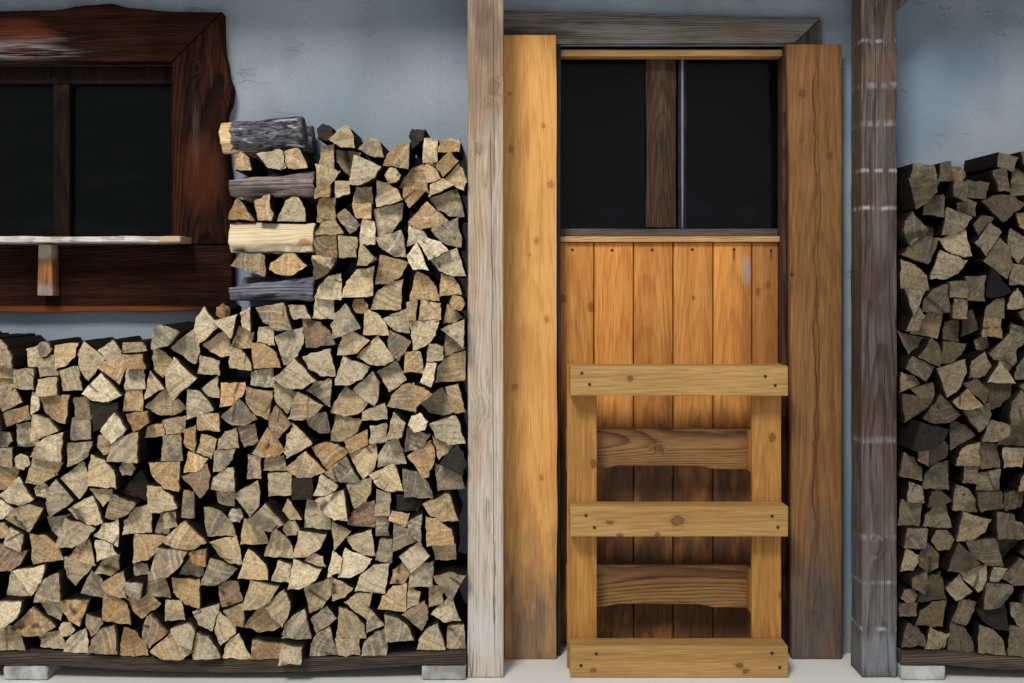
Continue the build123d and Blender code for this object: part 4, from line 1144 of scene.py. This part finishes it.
# cross logs of the crib: from the bottom blue-grey, freshly split, weathered and barked
paleSplit = {
    "name": "freshSplit", "along": "x", "pale": tone(244, 230, 200), "middle": tone(228, 208, 170),
    "dark": tone(190, 158, 116), "pith": (0.05, 0.06), "ringWidth": 0.010, "ringShare": 0.3,
    "streakShare": 0.9, "sway": 0.02, "knots": [(-0.376, 1.415, 0.012)], "knotColour": tone(190, 110, 50),
    "rimColour": tone(160, 92, 44), "crackFrom": 0.5, "crackColour": tone(120, 84, 50), "relief": 0.002,
    "varied": 0.0,
}
greySplit = {
    "name": "weatheredSplit", "along": "x", "pale": tone(176, 158, 148), "middle": tone(136, 122, 116),
    "dark": tone(74, 66, 66), "pith": (0.04, 0.05), "ringWidth": 0.008, "streakShare": 1.5,
    "blotchShare": 0.5, "blotch": 12.0, "crackFrom": 0.42, "relief": 0.003, "varied": 0.1,
}
blueSplit = {
    **greySplit, "name": "blueGreySplit", "pale": tone(170, 172, 180), "middle": tone(122, 124, 134),
    "dark": tone(58, 58, 66),
}
crossLook = {
    "wave": 0.006, "rough": 0.0022, "step": 0.018, "bark": tone(112, 110, 114), "barkDark": tone(44, 43, 48),
    "flake": tone(186, 190, 200), "split": tone(240, 220, 174), "splitEdge": tone(206, 148, 88),
}


def flakyBarkMaterial(look):
    material, place = startMaterial("flakyBark")
    spots = parts(attribute("logPlace"))
    lengthwise = stretched(place, (0.22, 1, 1))
    plates = spread(noiseAt(stretched(place, (0.3, 1, 1)), 125.0, 2.0, 0.6), 0.38, 0.5)
    rough = noiseAt(lengthwise, 90.0, 3.0, 0.7)
    flake = noiseAt(lengthwise, 60.0, 3.0, 0.65)
    colour = ramp(rough, [(0.3, look["barkDark"]), (0.62, look["bark"])])
    colour = mixTones(plates, look["barkDark"], colour)
    colour = layer(colour, look["flake"], flake, 0.56, 0.66, 0.0, 0.85)
    fibres = noiseAt(stretched(place, (0.06, 1, 1)), 170.0, 3.0, 0.65)
    wood = mixTones(spread(fibres, 0.35, 0.65), look["splitEdge"], look["split"])
    ragged = times(less(noiseAt(place, 40.0, 4.0), 0.5), 0.16)
    bareEnd = spread(total(spots[0], ragged), 0.135, 0.165, 1.0, 0.0)
    bareLow = spread(total(spots[1], ragged), 0.07, 0.12, 1.0, 0.0)
    bare = calc("MAXIMUM", bareEnd, bareLow)
    colour = mixTones(bare, colour, wood)
    height = mixTones(bare, total(plates, rough, flake), fibres)
    endMaterial(colour, 0.9, height, 0.004, 0.9, 0.3)
    return material


def dressCrossLogs(nodeName, look, materials):
    bm = cadCopy(nodeName)
    groups = islands(bm)
    levels = sorted({round(boxOf(group)[0].z, 2) for group in groups})
    for group in groups:
        level = min(range(len(levels)), key=lambda i: abs(levels[i] - boxOf(group)[0].z))
        for face in {f for v in group for f in v.link_faces}:
            face.material_index = min(level * len(materials) // len(levels), len(materials) - 1)
    bmesh.ops.bevel(
        bm, geom=sharpEdges(bm, 0.3), offset=0.006, segments=2, affect="EDGES", profile=0.5, material=-1,
        clamp_overlap=True,
    )
    sliceAlong(bm, 0, look["step"])
    sliceAlong(bm, 2, 0.02)
    bm.normal_update()
    layers = bm.verts.layers
    logPlace = layers.float_vector.new("logPlace")
    fromMiddle, ownShift = layers.float_vector.new("fromMiddle"), layers.float_vector.new("ownShift")
    chance = random.Random(8)
    for group in islands(bm):
        low, high = boxOf(group)
        shift = Vector([chance.uniform(-1, 1) for _ in range(3)])
        moves = []
        for v in group:
            share = [(v.co[i] - low[i]) / (high[i] - low[i]) for i in range(3)]
            v[logPlace] = (share[0], share[2], 0)
            v[fromMiddle] = v.co - (low + high) / 2
            v[ownShift] = shift
            wave = noise.noise(Vector((v.co.x * 14, shift.x * 5, shift.y * 5 + share[2] * 1.2)))
            rough = noise.noise(Vector((v.co.x * 26, v.co.y * 70, v.co.z * 70)))
            push = Vector((0, v.normal.y, v.normal.z)) * (wave * look["wave"] + rough * look["rough"] - 0.002)
            push.x = v.normal.x * (noise.noise(v.co * 60) - 0.3) * 0.006
            moves.append((v, push))
        for v, push in moves:
            v.co += push
    return finishPiece(bm, nodeName + "Logs", [nodeName], materials, 45)


crossMaterials = [finishOf(blueSplit), finishOf(paleSplit), finishOf(greySplit), flakyBarkMaterial(crossLook)]
dressCrossLogs("crib_cross_logs", crossLook, crossMaterials)
print("crib done")

# boards and blocks under the stacks
bearer = {
    "name": "bearerWood", "along": "x", "pale": tone(104, 92, 80), "middle": tone(66, 56, 48),
    "dark": tone(32, 27, 24), "pith": (0.0, 0.08), "crackFrom": 0.45, "relief": 0.002, "step": 0.05,
    "depth": 0.003,
}
block = {
    "along": "y", "pale": tone(196, 198, 198), "dark": tone(136, 134, 128), "pit": tone(92, 88, 84),
    "edge": 0.007, "edgeSteps": 3, "step": 0.03, "slices": {"x": 0.024, "z": 0.02}, "depth": 0.006,
    "size": 0.03,
}


def stoneMaterial(look):
    material, place = startMaterial("blockStone")
    broad = noiseAt(place, 9.0, 5.0, 0.6)
    grit = noiseAt(place, 160.0, 2.0, 0.7)
    colour = mixTones(spread(broad, 0.35, 0.65), look["pale"], look["dark"])
    colour = layer(colour, look["pit"], grit, 0.52, 0.8, 0.0, 0.5)
    endMaterial(colour, 0.92, total(broad, times(grit, 0.4)), 0.005, 0.8, 0.3)
    return material


blockFinish = stoneMaterial(block)
for nodeName in ("left_bearers", "right_bearers"):
    dressTimber(nodeName, bearer, 61)
for nodeName in ("left_blocks", "right_blocks"):
    dressTimber(nodeName, block, 62, material=blockFinish)
print("base done")

# floor, light and camera
stageLook = {
    "floor": tone(236, 234, 230), "floorDim": tone(230, 228, 224), "sky": (0.90, 0.94, 1.0, 1.0),
    "skyStrength": 0.36, "key": 560.0, "fill": 45.0, "rear": 110.0,
}
bpy.ops.mesh.primitive_plane_add(size=80, location=(0, 0, 0))
floor = bpy.context.object
floor.name = "floor"
material, place = startMaterial("floorTone")
floorTone = mixTones(spread(noiseAt(place, 0.5, 0.0), 0.3, 0.7), stageLook["floor"], stageLook["floorDim"])
endMaterial(floorTone, 0.9)
floor.data.materials.append(material)

world = bpy.data.worlds.new("studio")
bpy.context.scene.world = world
world.use_nodes = True
tree = world.node_tree
tree.nodes.clear()
rays = addNode("ShaderNodeLightPath")
seen = calc("MAXIMUM", rays.outputs["Is Camera Ray"], rays.outputs["Is Glossy Ray"])
seen = calc("MAXIMUM", seen, rays.outputs["Is Transmission Ray"])
dim = addNode("ShaderNodeBackground", {"Color": stageLook["sky"], "Strength": stageLook["skyStrength"]})
white = addNode("ShaderNodeBackground", {"Color": (0.95, 0.95, 0.95, 1), "Strength": 1.0})
blend = addNode("ShaderNodeMixShader", {0: seen, 1: dim.outputs[0], 2: white.outputs[0]})
addNode("ShaderNodeOutputWorld", {0: blend.outputs[0]})


def addLamp(name, place, target, size, energy, colour):
    lamp = bpy.data.lights.new(name, "AREA")
    lamp.shape = "RECTANGLE"
    lamp.size, lamp.size_y = size
    lamp.energy = energy
    lamp.color = colour
    holder = bpy.data.objects.new(name, lamp)
    holder.location = place
    holder.rotation_euler = (Vector(target) - Vector(place)).to_track_quat("-Z", "Y").to_euler()
    bpy.context.scene.collection.objects.link(holder)


addLamp("key", (-1.9, -6.6, 7.0), (0, 0, 1.0), (2.0, 2.0), stageLook["key"], (1.0, 0.975, 0.93))
addLamp("fill", (2.6, -8.4, 2.0), (0.3, 0, 1.1), (6, 3.4), stageLook["fill"], (0.95, 0.97, 1.0))
addLamp("rear", (-3.0, 7.0, 4.0), (0, 0, 1.2), (4, 3), stageLook["rear"], (0.97, 0.98, 1.0))

shot = {"place": (0.291, -3.670, 1.261), "lens": 38.7, "shift": -0.0503}
camera = bpy.data.cameras.new("camera")
camera.lens = shot["lens"]
camera.sensor_width = 36
camera.shift_y = shot["shift"]
camera.clip_end = 200
holder = bpy.data.objects.new("camera", camera)
holder.location = shot["place"]
holder.rotation_euler = (math.radians(90), 0, 0)
bpy.context.scene.collection.objects.link(holder)
bpy.context.scene.camera = holder
bpy.context.scene.view_settings.view_transform = "Standard"

print("stage done")
